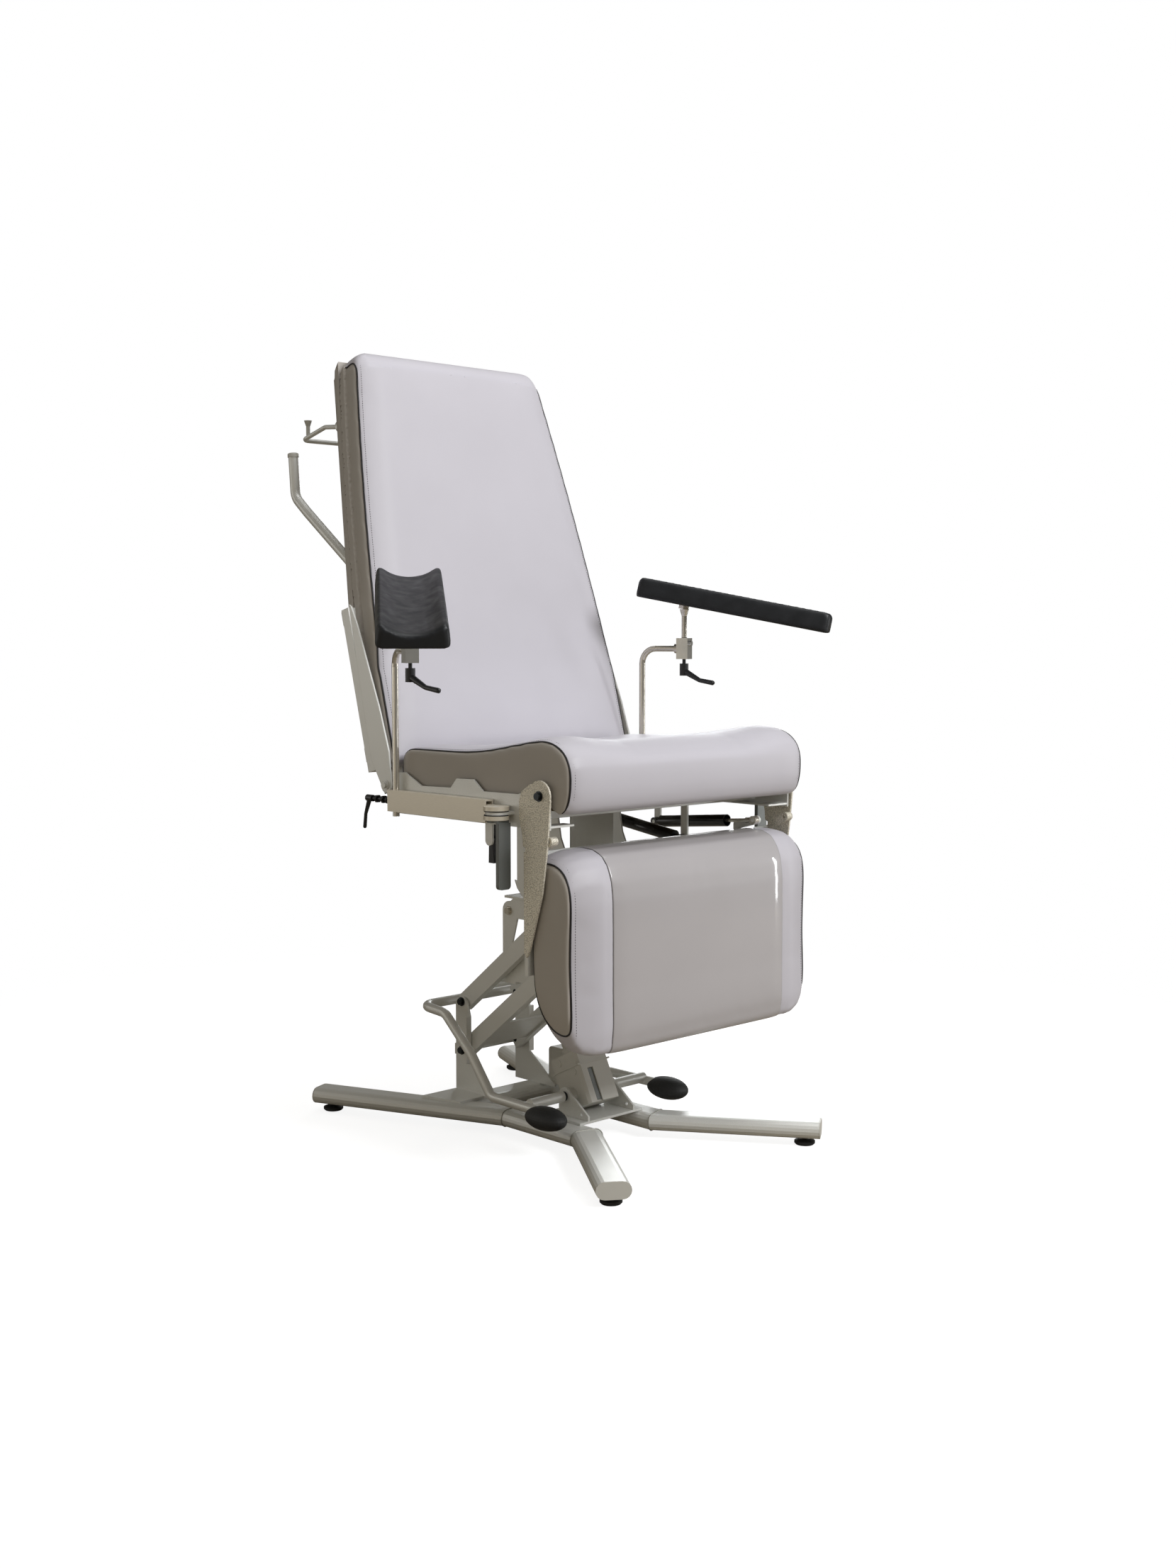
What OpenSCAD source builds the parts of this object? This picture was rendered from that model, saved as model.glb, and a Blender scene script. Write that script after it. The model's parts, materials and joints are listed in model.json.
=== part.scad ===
// Blood-draw chair: raised seat on a parallelogram lift, reclining back, leg rest and two arm gutters.
// Millimetres. Z is up, the sitter faces -Y, and X = 0 is the plane of symmetry.

/* [Base] */
// Width of the flat-oval floor tube
rail_w = 70; // [62:1:76]
// Height of the flat-oval floor tube
rail_h = 35; // [30:1:38]
// Wall of the floor tube
rail_wall = 3; // [2:0.5:5]
// Half the distance between the two floor tubes' middles
rail_x = 103; // [98:1:112]
// Where the middle stretch turns into the front leg
rail_front_y = -228; // [-242:1:-218]
// Where the middle stretch turns into the rear leg
rail_rear_y = 7; // [-4:1:20]
// How far a front leg runs forward
front_leg_run = 285; // [260:1:310]
// How far a front leg splays sideways
front_leg_splay = 201; // [180:1:220]
// How far a rear leg runs backward
rear_leg_run = 445; // [410:1:470]
// How far a rear leg splays sideways
rear_leg_splay = 183; // [165:1:200]
// Height of a levelling foot
foot_h = 17; // [14:1:24]
// Radius of a levelling foot's pad
foot_r = 22; // [18:1:26]
// Distance of a foot from the end of its leg
foot_inset = 31; // [27:1:42]
// Where the rear cross tube lies
cross_tube_y = 145; // [132:1:150]
// Thickness of the steel plates of the base
base_plate_t = 5; // [4:0.5:6]

/* [Lift] */
// Place of the arms' rear pivots
post_pivot_y = 188; // [180:1:196]
// Height of the lower arms' rear pivot
lower_pivot_z = 147; // [140:1:156]
// Height of the upper pivot above the lower one
arm_spacing = 110; // [96:1:120]
// Length of an arm between its pivots
arm_len = 330; // [320:1:338]
// Angle of the arms above the horizontal at rest
arm_angle = 38; // [34:1:40]
// Depth of an arm's tube
arm_depth = 38; // [32:1:42]
// Width of an arm's tube
arm_w = 18; // [14:1:19]
// Inner face of an arm, from the middle
arm_x = 66; // [65:0.5:67]
// Radius of the lift's pivot pins
pin_r = 6; // [5:0.5:7]
// Thickness of the carriage's side plates
carriage_t = 4; // [3:0.5:5]
// Place of the drive's lower pivot
drive_y = -125; // [-132:1:-118]
// Height of the drive's lower pivot
drive_z = 98; // [94:1:104]
// Place of the drive's upper pin
drive_top_y = 60; // [56:1:64]
// Height of the drive's upper pin
drive_top_z = 473; // [468:1:478]
// Radius of the drive's outer tube
drive_tube_r = 25; // [23:0.5:27]
// Radius of the drive's push rod
drive_rod_r = 10; // [8:0.5:11]

/* [Seat] */
// Half the width of the seat cushion
seat_half = 340; // [320:1:345]
// Length of the seat cushion
seat_len = 522; // [505:1:530]
// Height of the seat cushion's side, up to its crest
seat_h = 149; // [135:1:158]
// Back end of the seat cushion
seat_rear_y = 84; // [78:1:88]
// Underside of the front roll
roll_z = 732; // [729:1:736]
// How deep the seat is dished between its sides
seat_dish = 14; // [6:1:20]
// Thickness of the seat's side plates
side_t = 4; // [3:0.5:5]
// Gap between the seat cushion and the side plates
side_gap = 3; // [2:0.5:4]
// Lower edge of the seat's side plates
frame_z = 705; // [700:1:708]
// Thickness of the board under the seat cushion
board_t = 10; // [8:1:12]
// Size of the seat frame's square cross tubes
cross_s = 25; // [20:1:25]

/* [Back] */
// Lean of the back at rest
back_lean = 14.9; // [12:0.1:17]
// Place of the back's front plane at its reference height
back_y = 103; // [101:1:108]
// Reference height of the back's front plane
back_z = 860; // [856:1:866]
// How far the back's foot stands out past the seat cushion
back_over = 6; // [-10:1:8]
// Half the width of the back at its top
back_top_half = 252; // [235:1:262]
// Where the back starts to taper, above its reference
back_taper_u = 150; // [120:1:200]
// Foot of the back cushion, below its reference
back_foot_u = 55; // [50:1:58]
// Top of the back cushion, above its reference
back_top_u = 862; // [840:1:890]
// Thickness of the back cushion
back_thick = 72; // [66:1:73]
// Thickness of the back board
back_board_t = 18; // [12:1:20]
// Place of the back's hinge
back_hinge_y = 111; // [109:1:114]
// Height of the back's hinge
back_hinge_z = 762; // [758:1:766]
// Radius of a push handle's tube
handle_r = 11; // [9:0.5:12.5]
// How far the push handles stand in from the seat cushion's side
handle_in = 50; // [40:1:70]
// Radius of the roll holder's rod
holder_r = 5; // [4:0.5:6]
// How far the roll holder stands out past the back's top
holder_over = 10; // [-12:1:14]

/* [Leg rest] */
// How far the leg rest's hinge is behind the seat's front end
leg_hinge_in = 76; // [72:1:80]
// Height of the leg rest's hinge
leg_hinge_z = 769; // [766:1:773]
// How far the leg cushion stands out past the seat cushion
leg_over = 6; // [-10:1:8]
// Height of the leg cushion
leg_h = 396; // [380:1:402]
// Depth of the leg cushion
leg_depth = 130; // [115:1:138]
// Top of the leg cushion
leg_top_z = 666; // [658:1:668]
// How far the leg cushion's rear face is behind the hinge
leg_rear_back = 37; // [32:1:40]
// How far the leg cushion's seams are in from its sides
leg_seam_in = 84; // [71:1:101]
// Thickness of the leg rest's side plates
leg_plate_t = 4; // [3:0.5:5]
// Gap beside the seat's side plates
swing_gap = 3; // [2:0.5:4]
// Thickness of the clear cover on the leg cushion
cover_t = 1; // [0.8:0.1:1.5]

/* [Gas springs] */
// Radius of a gas spring's cylinder
gas_r = 13; // [12.5:0.5:14]
// Wall of a gas spring's cylinder
gas_wall = 2; // [1.5:0.1:2.5]
// Radius of a gas spring's rod
gas_rod_r = 4; // [3:0.5:4.5]
// Place of the leg rest's gas spring from the middle
leg_gas_x = 250; // [235:1:262]
// Crank of the leg rest's gas spring
leg_crank = 88; // [82:1:92]
// Place of the back's gas spring from the middle
back_gas_x = 124; // [118:1:140]
// Crank of the back's gas spring
back_crank = 60; // [54:1:66]

/* [Arm supports] */
// How far a support's swing axis stands out from the seat cushion
swing_out = 34; // [33:1:38]
// Place of a support's swing axis
swing_y = -262; // [-266:1:-258]
// Radius of a support's swing discs
swing_r = 25; // [21:1:26]
// Height of a support's bar
bar_h = 44; // [40:1:48]
// Width of a support's bar
bar_w = 21; // [20:0.5:23]
// Rear end of a support's bar
bar_rear_y = 86; // [82:1:90]
// How far the post's axis stands out from the seat cushion
post_out = 19.5; // [18:0.5:21]
// Place of the post's axis
post_y = 70; // [66:1:72]
// Radius of the post
post_r = 7; // [6:0.5:7.5]
// Height of the post's cross run
post_top_z = 1040; // [1000:1:1060]
// Side of the clamp block
block_s = 28; // [26:1:32]
// Height of the clamp block
block_h = 48; // [42:1:54]
// How far forward the block is from the post
block_run_y = 98; // [90:1:108]
// How far outward the block is from the post
block_run_x = 37; // [30:1:44]
// Length of a gutter
gutter_len = 440; // [400:1:480]
// Width of a gutter across its rims
gutter_w = 130; // [115:1:140]
// Height of a gutter
gutter_h = 46; // [42:1:52]
// Depth of a gutter's dish
gutter_dish = 20; // [12:1:24]
// Part of the gutter's length behind its stem
gutter_rear_share = 0.24; // [0.2:0.01:0.3]
// Slope of the sitter's left gutter towards its front end
gutter_tilt = 11; // [8:0.5:14]
// Turn of the sitter's left gutter outward from straight ahead
gutter_turn = 36.5; // [30:0.5:60]
// Slope of the sitter's right gutter towards its front end
right_gutter_tilt = 16; // [8:0.5:18]
// Turn of the sitter's right gutter outward from straight ahead
right_gutter_turn = 37; // [30:0.5:60]

/* [Foot bar] */
// Radius of the foot bar's tube
pedal_r = 10.5; // [9:0.5:11]
// Half the width of the foot bar
pedal_x = 168; // [160:1:176]
// Height of the foot bar's rear loop
pedal_loop_z = 252; // [240:1:262]
// Place of the foot bar's rear loop
pedal_loop_y = 236; // [232:1:244]
// Length of a foot pad
pad_len = 108; // [96:1:114]

/* [Hidden] */
$fn = 40;

// Clearances and the overrun of a cut
over = 1;
run_gap = 0.05;
soft_gap = 0.3;
face_gap = 0.3;
hair = 0.01;

// Places and widths that follow the seat
back_low_half = seat_half + back_over;
handle_x = seat_half - handle_in;
holder_half = back_top_half + holder_over;
leg_half = seat_half + leg_over;
leg_panel_half = leg_half - leg_seam_in;
leg_hinge_y = seat_rear_y - seat_len + leg_hinge_in;
leg_rear_y = leg_hinge_y + leg_rear_back;
swing_x = seat_half + swing_out;
post_x = seat_half + post_out;
tube_sides = 20;
bend_steps = 6;

// Colours
silver = "#a9aca9";
vinyl = "#c4c1c8";
dark = "#1b1c1e";
steel = "#b9b7b2";
hammer = "#b7b0a0";
plastic = "#c9c8c4";

// Points and vectors
function unit(v) = v / norm(v);
function polar(r, a) = [r * cos(a), r * sin(a)];
function arc(c, r, a0, a1, steps) = [for (i = [0:steps]) c + polar(r, a0 + (a1 - a0) * i / steps)];
function lerp(a, b, t) = a + (b - a) * t;
function clamp(v, lo, hi) = min(max(v, lo), hi);
function smooth(t) = let (c = clamp(t, 0, 1)) c * c * (3 - 2 * c);
function mirrored(shares) = concat([for (i = [len(shares) - 1:-1:0]) -shares[i]], [0], shares);
function line_turn(p, q) = atan2(q.y - p.y, q.x - p.x);

// A shape and its mirror image on the other side
module both_sides() {
    children();
    mirror([1, 0, 0]) children();
}

// A side of the chair: +1 is the sitter's left, -1 the sitter's right
module on_side(side) {
    mirror([side < 0 ? 1 : 0, 0, 0]) children();
}

// A flat outline given in y and z, made solid along x from x0
module side_plate(x0, t) {
    translate([x0, 0, 0]) rotate([90, 0, 90]) linear_extrude(t) children();
}

// A round bar along x
module x_bar(y, z, r, x0, x1) {
    translate([x0, y, z]) rotate([0, 90, 0]) cylinder(h = x1 - x0, r = r);
}

// Width of a bar beside its round ends
bar_share = 0.994;

// Outline of a straight bar with round ends
module link(p, q, r) {
    w = r * bar_share;
    translate(p) circle(r);
    translate(q) circle(r);
    translate(p) rotate(line_turn(p, q)) translate([0, -w]) square([norm(q - p), 2 * w]);
}

// Places the children at p, with z towards q
module aim(p, q) {
    d = q - p;
    translate(p) rotate([0, acos(d.z / norm(d)), atan2(d.y, d.x)]) children();
}

// A straight round rod between two points
module rod(p, q, r) {
    aim(p, q) cylinder(h = norm(q - p), r = r);
}

// How far a bend reaches along its legs
function bend_reach(a, b, c, bend_r) = bend_r / tan(acos(unit(a - b) * unit(c - b)) / 2);

// Places and directions along one bend at the corner b
function bend_stations(a, b, c, bend_r) = let (u = unit(a - b), v = unit(c - b),
        inner = acos(u * v),
        reach = bend_reach(a, b, c, bend_r),
        centre = b + unit(u + v) * bend_r / sin(inner / 2),
        e1 = unit(b + u * reach - centre),
        to_end = b + v * reach - centre,
        e2 = unit(to_end - e1 * (to_end * e1)))
    [for (i = [0:bend_steps]) let (t = (180 - inner) * i / bend_steps)
        [centre + bend_r * (e1 * cos(t) + e2 * sin(t)), e2 * cos(t) - e1 * sin(t)]];

// Cross directions carried along a tube without twist
function carried(ways, u, i = 0) = i == len(ways) ? [] : let (v = unit(u - ways[i] * (ways[i] * u)))
    concat([v], carried(ways, v, i + 1));

// A bent tube through a list of corner points
module bent_tube(points, r, bend_r) {
    last = len(points) - 1;
    first_way = unit(points[1] - points[0]);
    stations = concat([[points[0], first_way]],
        [for (i = [1:last - 1]) each bend_stations(points[i - 1], points[i], points[i + 1], bend_r)],
        [[points[last], unit(points[last] - points[last - 1])]]);
    ways = [for (s = stations) s[1]];
    across = carried(ways, abs(first_way.x) > 0.5 ? [0, 0, 1] : [1, 0, 0]);
    skin([for (i = [0:len(stations) - 1]) let (w = cross(ways[i], across[i]))
        [for (k = [0:tube_sides - 1]) let (t = 360 * k / tube_sides)
            stations[i][0] + r * (across[i] * cos(t) + w * sin(t))]]);
}

// A closed skin over rings of points, capped at both ends
module skin(rings) {
    n = len(rings[0]);
    m = len(rings);
    function mid(ring) = [for (k = [0:2]) let (s = [for (p = ring) p[k]]) (min(s) + max(s)) / 2];
    points = concat([for (ring = rings) each ring], [mid(rings[0]), mid(rings[m - 1])]);
    walls = [for (j = [0:m - 2]) for (i = [0:n - 1])
        let (a = j * n + i, b = j * n + (i + 1) % n, c = a + n, d = b + n) each [[a, c, b], [b, c, d]]];
    caps = [for (i = [0:n - 1]) each [[m * n, i, (i + 1) % n],
        [m * n + 1, (m - 1) * n + (i + 1) % n, (m - 1) * n + i]]];
    polyhedron(points = points, faces = concat(walls, caps));
}

// A skin over rings whose last ring is followed by the first
module ring_loop(rings) {
    n = len(rings[0]);
    m = len(rings);
    polyhedron(points = [for (ring = rings) each ring], faces = [for (j = [0:m - 1]) for (i = [0:n - 1])
        let (a = j * n, c = (j + 1) % m * n, k = (i + 1) % n) each [[a + i, c + i, a + k], [a + k, c + i,
            c + k]]]);
}

// Floor tubes

rail_z = foot_h + rail_h / 2;
rail_top = foot_h + rail_h;
front_end = [rail_x + front_leg_splay, rail_front_y - front_leg_run];
rear_end = [rail_x + rear_leg_splay, rail_rear_y + rear_leg_run];
oval_steps = 8;
rail_path = [front_end, [rail_x, rail_front_y], [rail_x, rail_rear_y], rear_end];

function oval_points(w, h) = concat(arc([(w - h) / 2, 0], h / 2, -90, 90, oval_steps),
    arc([(h - w) / 2, 0], h / 2, 90, 270, oval_steps));
function left_of(v) = [-v.y, v.x];

module oval(w, h) {
    polygon(oval_points(w, h));
}

// The tube's section at one corner of its path, widened to the mitre
function rail_ring(i, w, h) = let (
        d_in = unit(rail_path[max(i, 1)] - rail_path[max(i, 1) - 1]),
        d_out = unit(rail_path[min(i, 2) + 1] - rail_path[min(i, 2)]),
        m = left_of(unit(d_in + d_out)),
        wide = m / (m * left_of(d_in)),
        c = rail_path[i])
    [for (p = oval_points(w, h)) [c.x + wide.x * p.x, c.y + wide.y * p.x, rail_z + p.y]];

module rail_solid(w, h) {
    skin([for (i = [0:3]) rail_ring(i, w, h)]);
}

// Outside along the tube, then back along its inner wall
module floor_rails() {
    w = rail_w - 2 * rail_wall;
    h = rail_h - 2 * rail_wall;
    color(silver) both_sides() ring_loop(concat(
        [for (i = [0:3]) rail_ring(i, rail_w, rail_h)], [for (i = [3:-1:0]) rail_ring(i, w, h)]));
}

// Places the children at a leg's end, with x pointing out of the tube
module at_leg_end(front) {
    p = front ? front_end : rear_end;
    q = front ? rail_path[1] : rail_path[2];
    translate([p.x, p.y, rail_z]) rotate(line_turn(q, p)) children();
}

cap_t = 3;
cap_plug = 14;

module rail_end_caps() {
    color(plastic) both_sides() for (front = [true, false]) at_leg_end(front) {
        rotate([90, 0, 90]) linear_extrude(cap_t) oval(rail_w, rail_h);
        translate([-cap_plug, 0, 0]) rotate([90, 0, 90]) linear_extrude(cap_plug)
            oval(rail_w - 2 * rail_wall, rail_h - 2 * rail_wall);
    }
}

foot_stud_r = 6;
foot_pad_share = 0.45;
foot_cone_share = 0.68;

module levelling_feet() {
    color(dark) both_sides() for (front = [true, false]) at_leg_end(front)
        translate([-foot_inset, 0, -rail_z]) rotate_extrude() polygon([
            [0, 0], [foot_r - cap_t, 0], [foot_r, cap_t], [foot_r, foot_h * foot_pad_share],
            [foot_stud_r * 2, foot_h * foot_cone_share], [foot_stud_r, foot_h * foot_cone_share],
            [foot_stud_r, foot_h], [0, foot_h]]);
}

// A floor tube's middle line at a given y behind the rear weld
function rail_x_at(y) = rail_x + max(0, y - rail_rear_y) * rear_leg_splay / rear_leg_run;

module rear_cross_tube() {
    reach = rail_x_at(cross_tube_y) + rail_w;
    color(silver) difference() {
        translate([-reach, cross_tube_y, rail_z]) rotate([90, 0, 90]) linear_extrude(2 * reach)
            difference() {
                oval(rail_w, rail_h);
                oval(rail_w - 2 * rail_wall, rail_h - 2 * rail_wall);
            }
        both_sides() rail_solid(rail_w, rail_h);
        // Everything beyond the floor tubes' middle lines
        both_sides() translate([0, 0, foot_h - over]) linear_extrude(rail_h + 2 * over) polygon([
            [rail_x, rail_rear_y], [reach + over, rail_rear_y], [reach + over, cross_tube_y + 2 * rail_w],
            [rail_x_at(cross_tube_y + 2 * rail_w), cross_tube_y + 2 * rail_w]]);
    }
}

// Lift posts

upper_pivot_z = lower_pivot_z + arm_spacing;
arm_out_x = arm_x + arm_w;
washer_t = 2;
post_in_x = arm_out_x + washer_t;
post_rear_y = post_pivot_y + 21;
post_front_y = post_pivot_y - 27;
post_toe_y = post_pivot_y - 113;
post_taper_z = lower_pivot_z - 26;
ear_r = 21;
ear_z = upper_pivot_z - ear_r / 2;
post_flange = 14;
gusset_y = 66;

module lift_posts() {
    color(silver) both_sides() {
        difference() {
            union() {
            side_plate(post_in_x, base_plate_t) {
                polygon([[post_rear_y, rail_top], [post_rear_y, ear_z], [post_rear_y - 2 * ear_r, ear_z],
                    [post_front_y, ear_z - ear_r], [post_front_y, post_taper_z],
                    [post_toe_y, rail_top + base_plate_t], [post_toe_y, rail_top]]);
                translate([post_rear_y - ear_r, ear_z]) circle(ear_r);
            }
            // Flange along the front edge
            translate([post_in_x, post_front_y, post_taper_z])
                cube([post_flange, base_plate_t, ear_z - ear_r - post_taper_z]);
            }
            for (z = [lower_pivot_z, upper_pivot_z])
                x_bar(post_pivot_y, z, pin_r, post_in_x - over, post_in_x + base_plate_t + over);
        }
        // Flat gusset from the post's foot to the floor tube
        translate([0, 0, rail_top]) linear_extrude(base_plate_t) polygon([
            [post_in_x + base_plate_t, cross_tube_y - gusset_y / 2],
            [rail_x_at(cross_tube_y), cross_tube_y - gusset_y / 2],
            [rail_x_at(cross_tube_y + gusset_y), cross_tube_y + gusset_y],
            [post_in_x + base_plate_t, cross_tube_y + gusset_y]]);
    }
}

tie_h = 24;
tie_t = 4;
tie_hole_r = 4;
tie_hole_x = 24;

module post_tie_plate() {
    half = post_in_x + base_plate_t;
    z = lower_pivot_z - tie_h / 2;
    color(silver) difference() {
        translate([-half, post_rear_y, z]) cube([2 * half, tie_t, tie_h]);
        for (s = [-1, 1]) translate([s * tie_hole_x, post_rear_y - over, lower_pivot_z])
            rotate([-90, 0, 0]) cylinder(h = tie_t + 2 * over, r = tie_hole_r);
    }
}

// Bracket of the electric drive

bracket_half = 92;
bracket_front_y = drive_y - 72;
bracket_rear_y = drive_y + 50;
bracket_ear_x = 64;
bracket_ear_r = 18;
bracket_toe = 10;
bracket_hole_r = 4;

module drive_bracket() {
    deck = rail_top + base_plate_t;
    color(silver) difference() {
        union() {
            translate([-bracket_half, bracket_front_y, rail_top])
                cube([2 * bracket_half, bracket_rear_y - bracket_front_y, base_plate_t]);
            both_sides() side_plate(bracket_ear_x, base_plate_t) {
                polygon([[bracket_front_y, deck], [bracket_front_y, deck + bracket_toe],
                    [drive_y - bracket_ear_r * cos(35), drive_z + bracket_ear_r * sin(35)],
                    [drive_y + bracket_ear_r, drive_z], [drive_y + bracket_ear_r, deck]]);
                translate([drive_y, drive_z]) circle(bracket_ear_r);
            }
        }
        x_bar(drive_y, drive_z, pin_r, -bracket_half, bracket_half);
        x_bar(bracket_front_y + 2 * bracket_toe, deck + bracket_toe, bracket_hole_r,
            -bracket_half, bracket_half);
    }
}

box_t = 38;
box_len = 84;
box_h = 86;
box_r = 10;
box_front_y = 16;

module rounded(w, h, r) {
    translate([r, 0]) square([w - 2 * r, h]);
    translate([0, r]) square([w, h - 2 * r]);
    for (x = [r, w - r]) for (y = [r, h - r]) translate([x, y]) circle(r);
}

module control_box() {
    color(plastic) side_plate(post_in_x + base_plate_t, box_t)
        translate([box_front_y, rail_top + base_plate_t]) rounded(box_len, box_h, box_r);
}

bolt_head_r = 10;
bolt_head_t = 6;
pedal_pin_out = 112;
drive_half = 45;

// A bolt along x with a domed head at its outer end
module side_bolt(y, z, r, x0, x1) {
    x_bar(y, z, r, x0, x1);
    x_bar(y, z, bolt_head_r, x1, x1 + washer_t);
    x_bar(y, z, bolt_head_r * 0.7, x1 + washer_t, x1 + washer_t + bolt_head_t);
}

module base_pivot_pins() {
    color(steel) both_sides() {
        for (z = [lower_pivot_z, upper_pivot_z]) {
            side_bolt(post_pivot_y, z, pin_r, arm_x, post_in_x + base_plate_t);
            difference() {
                x_bar(post_pivot_y, z, bolt_head_r, arm_out_x + run_gap, post_in_x);
                x_bar(post_pivot_y, z, pin_r - hair, arm_out_x, post_in_x + over);
            }
        }
        x_bar(drive_y, drive_z, pin_r, drive_half - pin_r * 3, pedal_pin_out);
        x_bar(drive_y, drive_z, bolt_head_r, bracket_ear_x + base_plate_t,
            bracket_ear_x + base_plate_t + bolt_head_t);
    }
}

// Parallelogram arms

arm_dir = [-cos(arm_angle), sin(arm_angle)];
arm_end = [post_pivot_y, 0] + arm_dir * arm_len;
front_pivot_y = arm_end.x;
front_lower_z = lower_pivot_z + arm_end.y;
front_upper_z = upper_pivot_z + arm_end.y;
arm_tail = 9;
arm_wall = 2.5;

// One arm seen from the side
module arm_outline(z) {
    translate([post_pivot_y, z]) rotate(180 - arm_angle) {
        translate([-arm_tail, -arm_depth / 2]) square([arm_len + arm_tail, arm_depth]);
        translate([arm_len, 0]) circle(arm_depth / 2);
    }
}

module arm_pair(z) {
    both_sides() difference() {
        side_plate(arm_x, arm_w) arm_outline(z);
        side_plate(arm_x + arm_wall, arm_w - 2 * arm_wall) translate([post_pivot_y,
            z]) rotate(180 - arm_angle)
            translate([2 * bolt_head_r, arm_wall - arm_depth / 2])
                square([arm_len - 4 * bolt_head_r, arm_depth - 2 * arm_wall]);
        x_bar(post_pivot_y, z, pin_r + run_gap, arm_x - over, arm_out_x + over);
        x_bar(front_pivot_y, z + arm_end.y, pin_r + run_gap, arm_x - over, arm_out_x + over);
    }
}

web_from = 40;
web_to = 145;
web_t = 4;
web_roll_r = 5;

module lower_arms() {
    color(silver) {
        arm_pair(lower_pivot_z);
        // Web plate between the two arms, with a rolled lower edge
        translate([0, post_pivot_y, lower_pivot_z]) rotate([-arm_angle, 0, 0]) {
            translate([-arm_x, -web_to, web_t - arm_depth / 2]) cube([2 * arm_x, web_to - web_from, web_t]);
            x_bar(-web_from, web_t - arm_depth / 2 + web_roll_r, web_roll_r, -arm_x, arm_x);
        }
    }
}

brace_r = 9;
brace_share = 0.2;

module upper_arms() {
    brace = [post_pivot_y, upper_pivot_z] + arm_dir * arm_len * brace_share;
    color(silver) {
        arm_pair(upper_pivot_z);
        x_bar(brace.x, brace.y, brace_r, -arm_x, arm_x);
    }
}

// Electric drive, drawn along its own axis from its lower pivot

drive_span = [drive_top_y - drive_y, drive_top_z - drive_z];
drive_len = norm(drive_span);
drive_turn = atan2(drive_span.x, drive_span.y);
housing_low = 32;
housing_high = 84;
housing_front = 44;
housing_rear = 42;
housing_r = 6;
tube_top = 226;
tube_wall = 7;

// Places the children with z along the drive and y to its rear
module on_drive() {
    translate([0, drive_y, drive_z]) rotate([-drive_turn, 0, 0]) children();
}

recess_half = 8;
recess_depth = 4;
parting_t = 1.5;
boss_r = 7;
boss_t = 1.5;

module drive_housing() {
    color(plastic) on_drive() difference() {
        union() {
            translate([0, 0, -housing_low]) linear_extrude(housing_low + housing_high) polygon([
                [-drive_half, housing_r - housing_front], [housing_r - drive_half, -housing_front],
                [drive_half - housing_r, -housing_front], [drive_half, housing_r - housing_front],
                [drive_half, housing_rear - housing_r], [drive_half - housing_r, housing_rear],
                [housing_r - drive_half, housing_rear], [-drive_half, housing_rear - housing_r]]);
            translate([-drive_half - parting_t, -housing_front - parting_t, housing_high * 0.62])
                cube([2 * (drive_half + parting_t), housing_front + housing_rear + 2 * parting_t,
                    2 * parting_t]);
            both_sides() for (p = [[-0.6, 0.5], [0.3, 0.84]])
                x_bar(p.x * housing_rear, p.y * housing_high, boss_r, drive_half - over,
                    drive_half + boss_t);
            both_sides() x_bar(0, 0, bracket_ear_r * 0.8, drive_half - over, bracket_ear_x - washer_t);
        }
        // Hollow for the screw and its tube
        translate([0, 0, housing_low]) cylinder(h = housing_high, r = drive_tube_r);
        // Tall recess of the cable cover on the front
        translate([-recess_half - drive_half / 3, -housing_front - over, -housing_low - over])
            cube([2 * recess_half, recess_depth + over, housing_low + housing_high * 0.5 + over]);
        x_bar(0, 0, pin_r + run_gap, -bracket_ear_x, bracket_ear_x);
        // Flat that clears the bracket's deck
        rotate([drive_turn, 0, 0]) translate([-drive_half - over, 0, rail_top - drive_z - drive_half])
            cube([2 * drive_half + 2 * over, drive_half * 2, drive_half + base_plate_t + over]);
    }
}

tube_collar_r = 29;
tube_collar_t = 12;

module drive_outer_tube() {
    color(plastic) on_drive() translate([0, 0, housing_low]) difference() {
        union() {
            cylinder(h = tube_top - housing_low, r = drive_tube_r);
            translate([0, 0, housing_high - housing_low]) cylinder(h = tube_collar_t, r = tube_collar_r);
        }
        translate([0, 0, tube_collar_t]) cylinder(h = tube_top, r = drive_tube_r - tube_wall);
    }
}

rod_eye_r = 16;
rod_eye_half = 14;
rod_in_tube = 176;

module drive_push_rod() {
    color(steel) on_drive() difference() {
        union() {
            translate([0, 0, drive_len - rod_in_tube - rod_eye_r * 2])
                cylinder(h = rod_in_tube + rod_eye_r * 2 - pin_r, r = drive_rod_r);
            x_bar(0, drive_len, rod_eye_r, -rod_eye_half, rod_eye_half);
        }
        x_bar(0, drive_len, pin_r + run_gap, -rod_eye_half - over, rod_eye_half + over);
    }
}

// Carriage at the front of the arms

carriage_out_x = arm_x - pin_r * 0.7;
carriage_in_x = carriage_out_x - carriage_t;
carriage_rear_y = drive_top_y + 21;
carriage_front_y = front_pivot_y - 24;
carriage_z = front_lower_z - 32;
carriage_top = front_upper_z + 47;
deck_t = 5;
deck_rear_y = drive_top_y - 20;
deck_front_y = drive_top_y - 228;
deck_half = 92;
cut_y_shares = [0.13, 0.27, 0.62, 0.55];
cut_z_shares = [0.30, 0.74, 0.74, 0.30];

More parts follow.
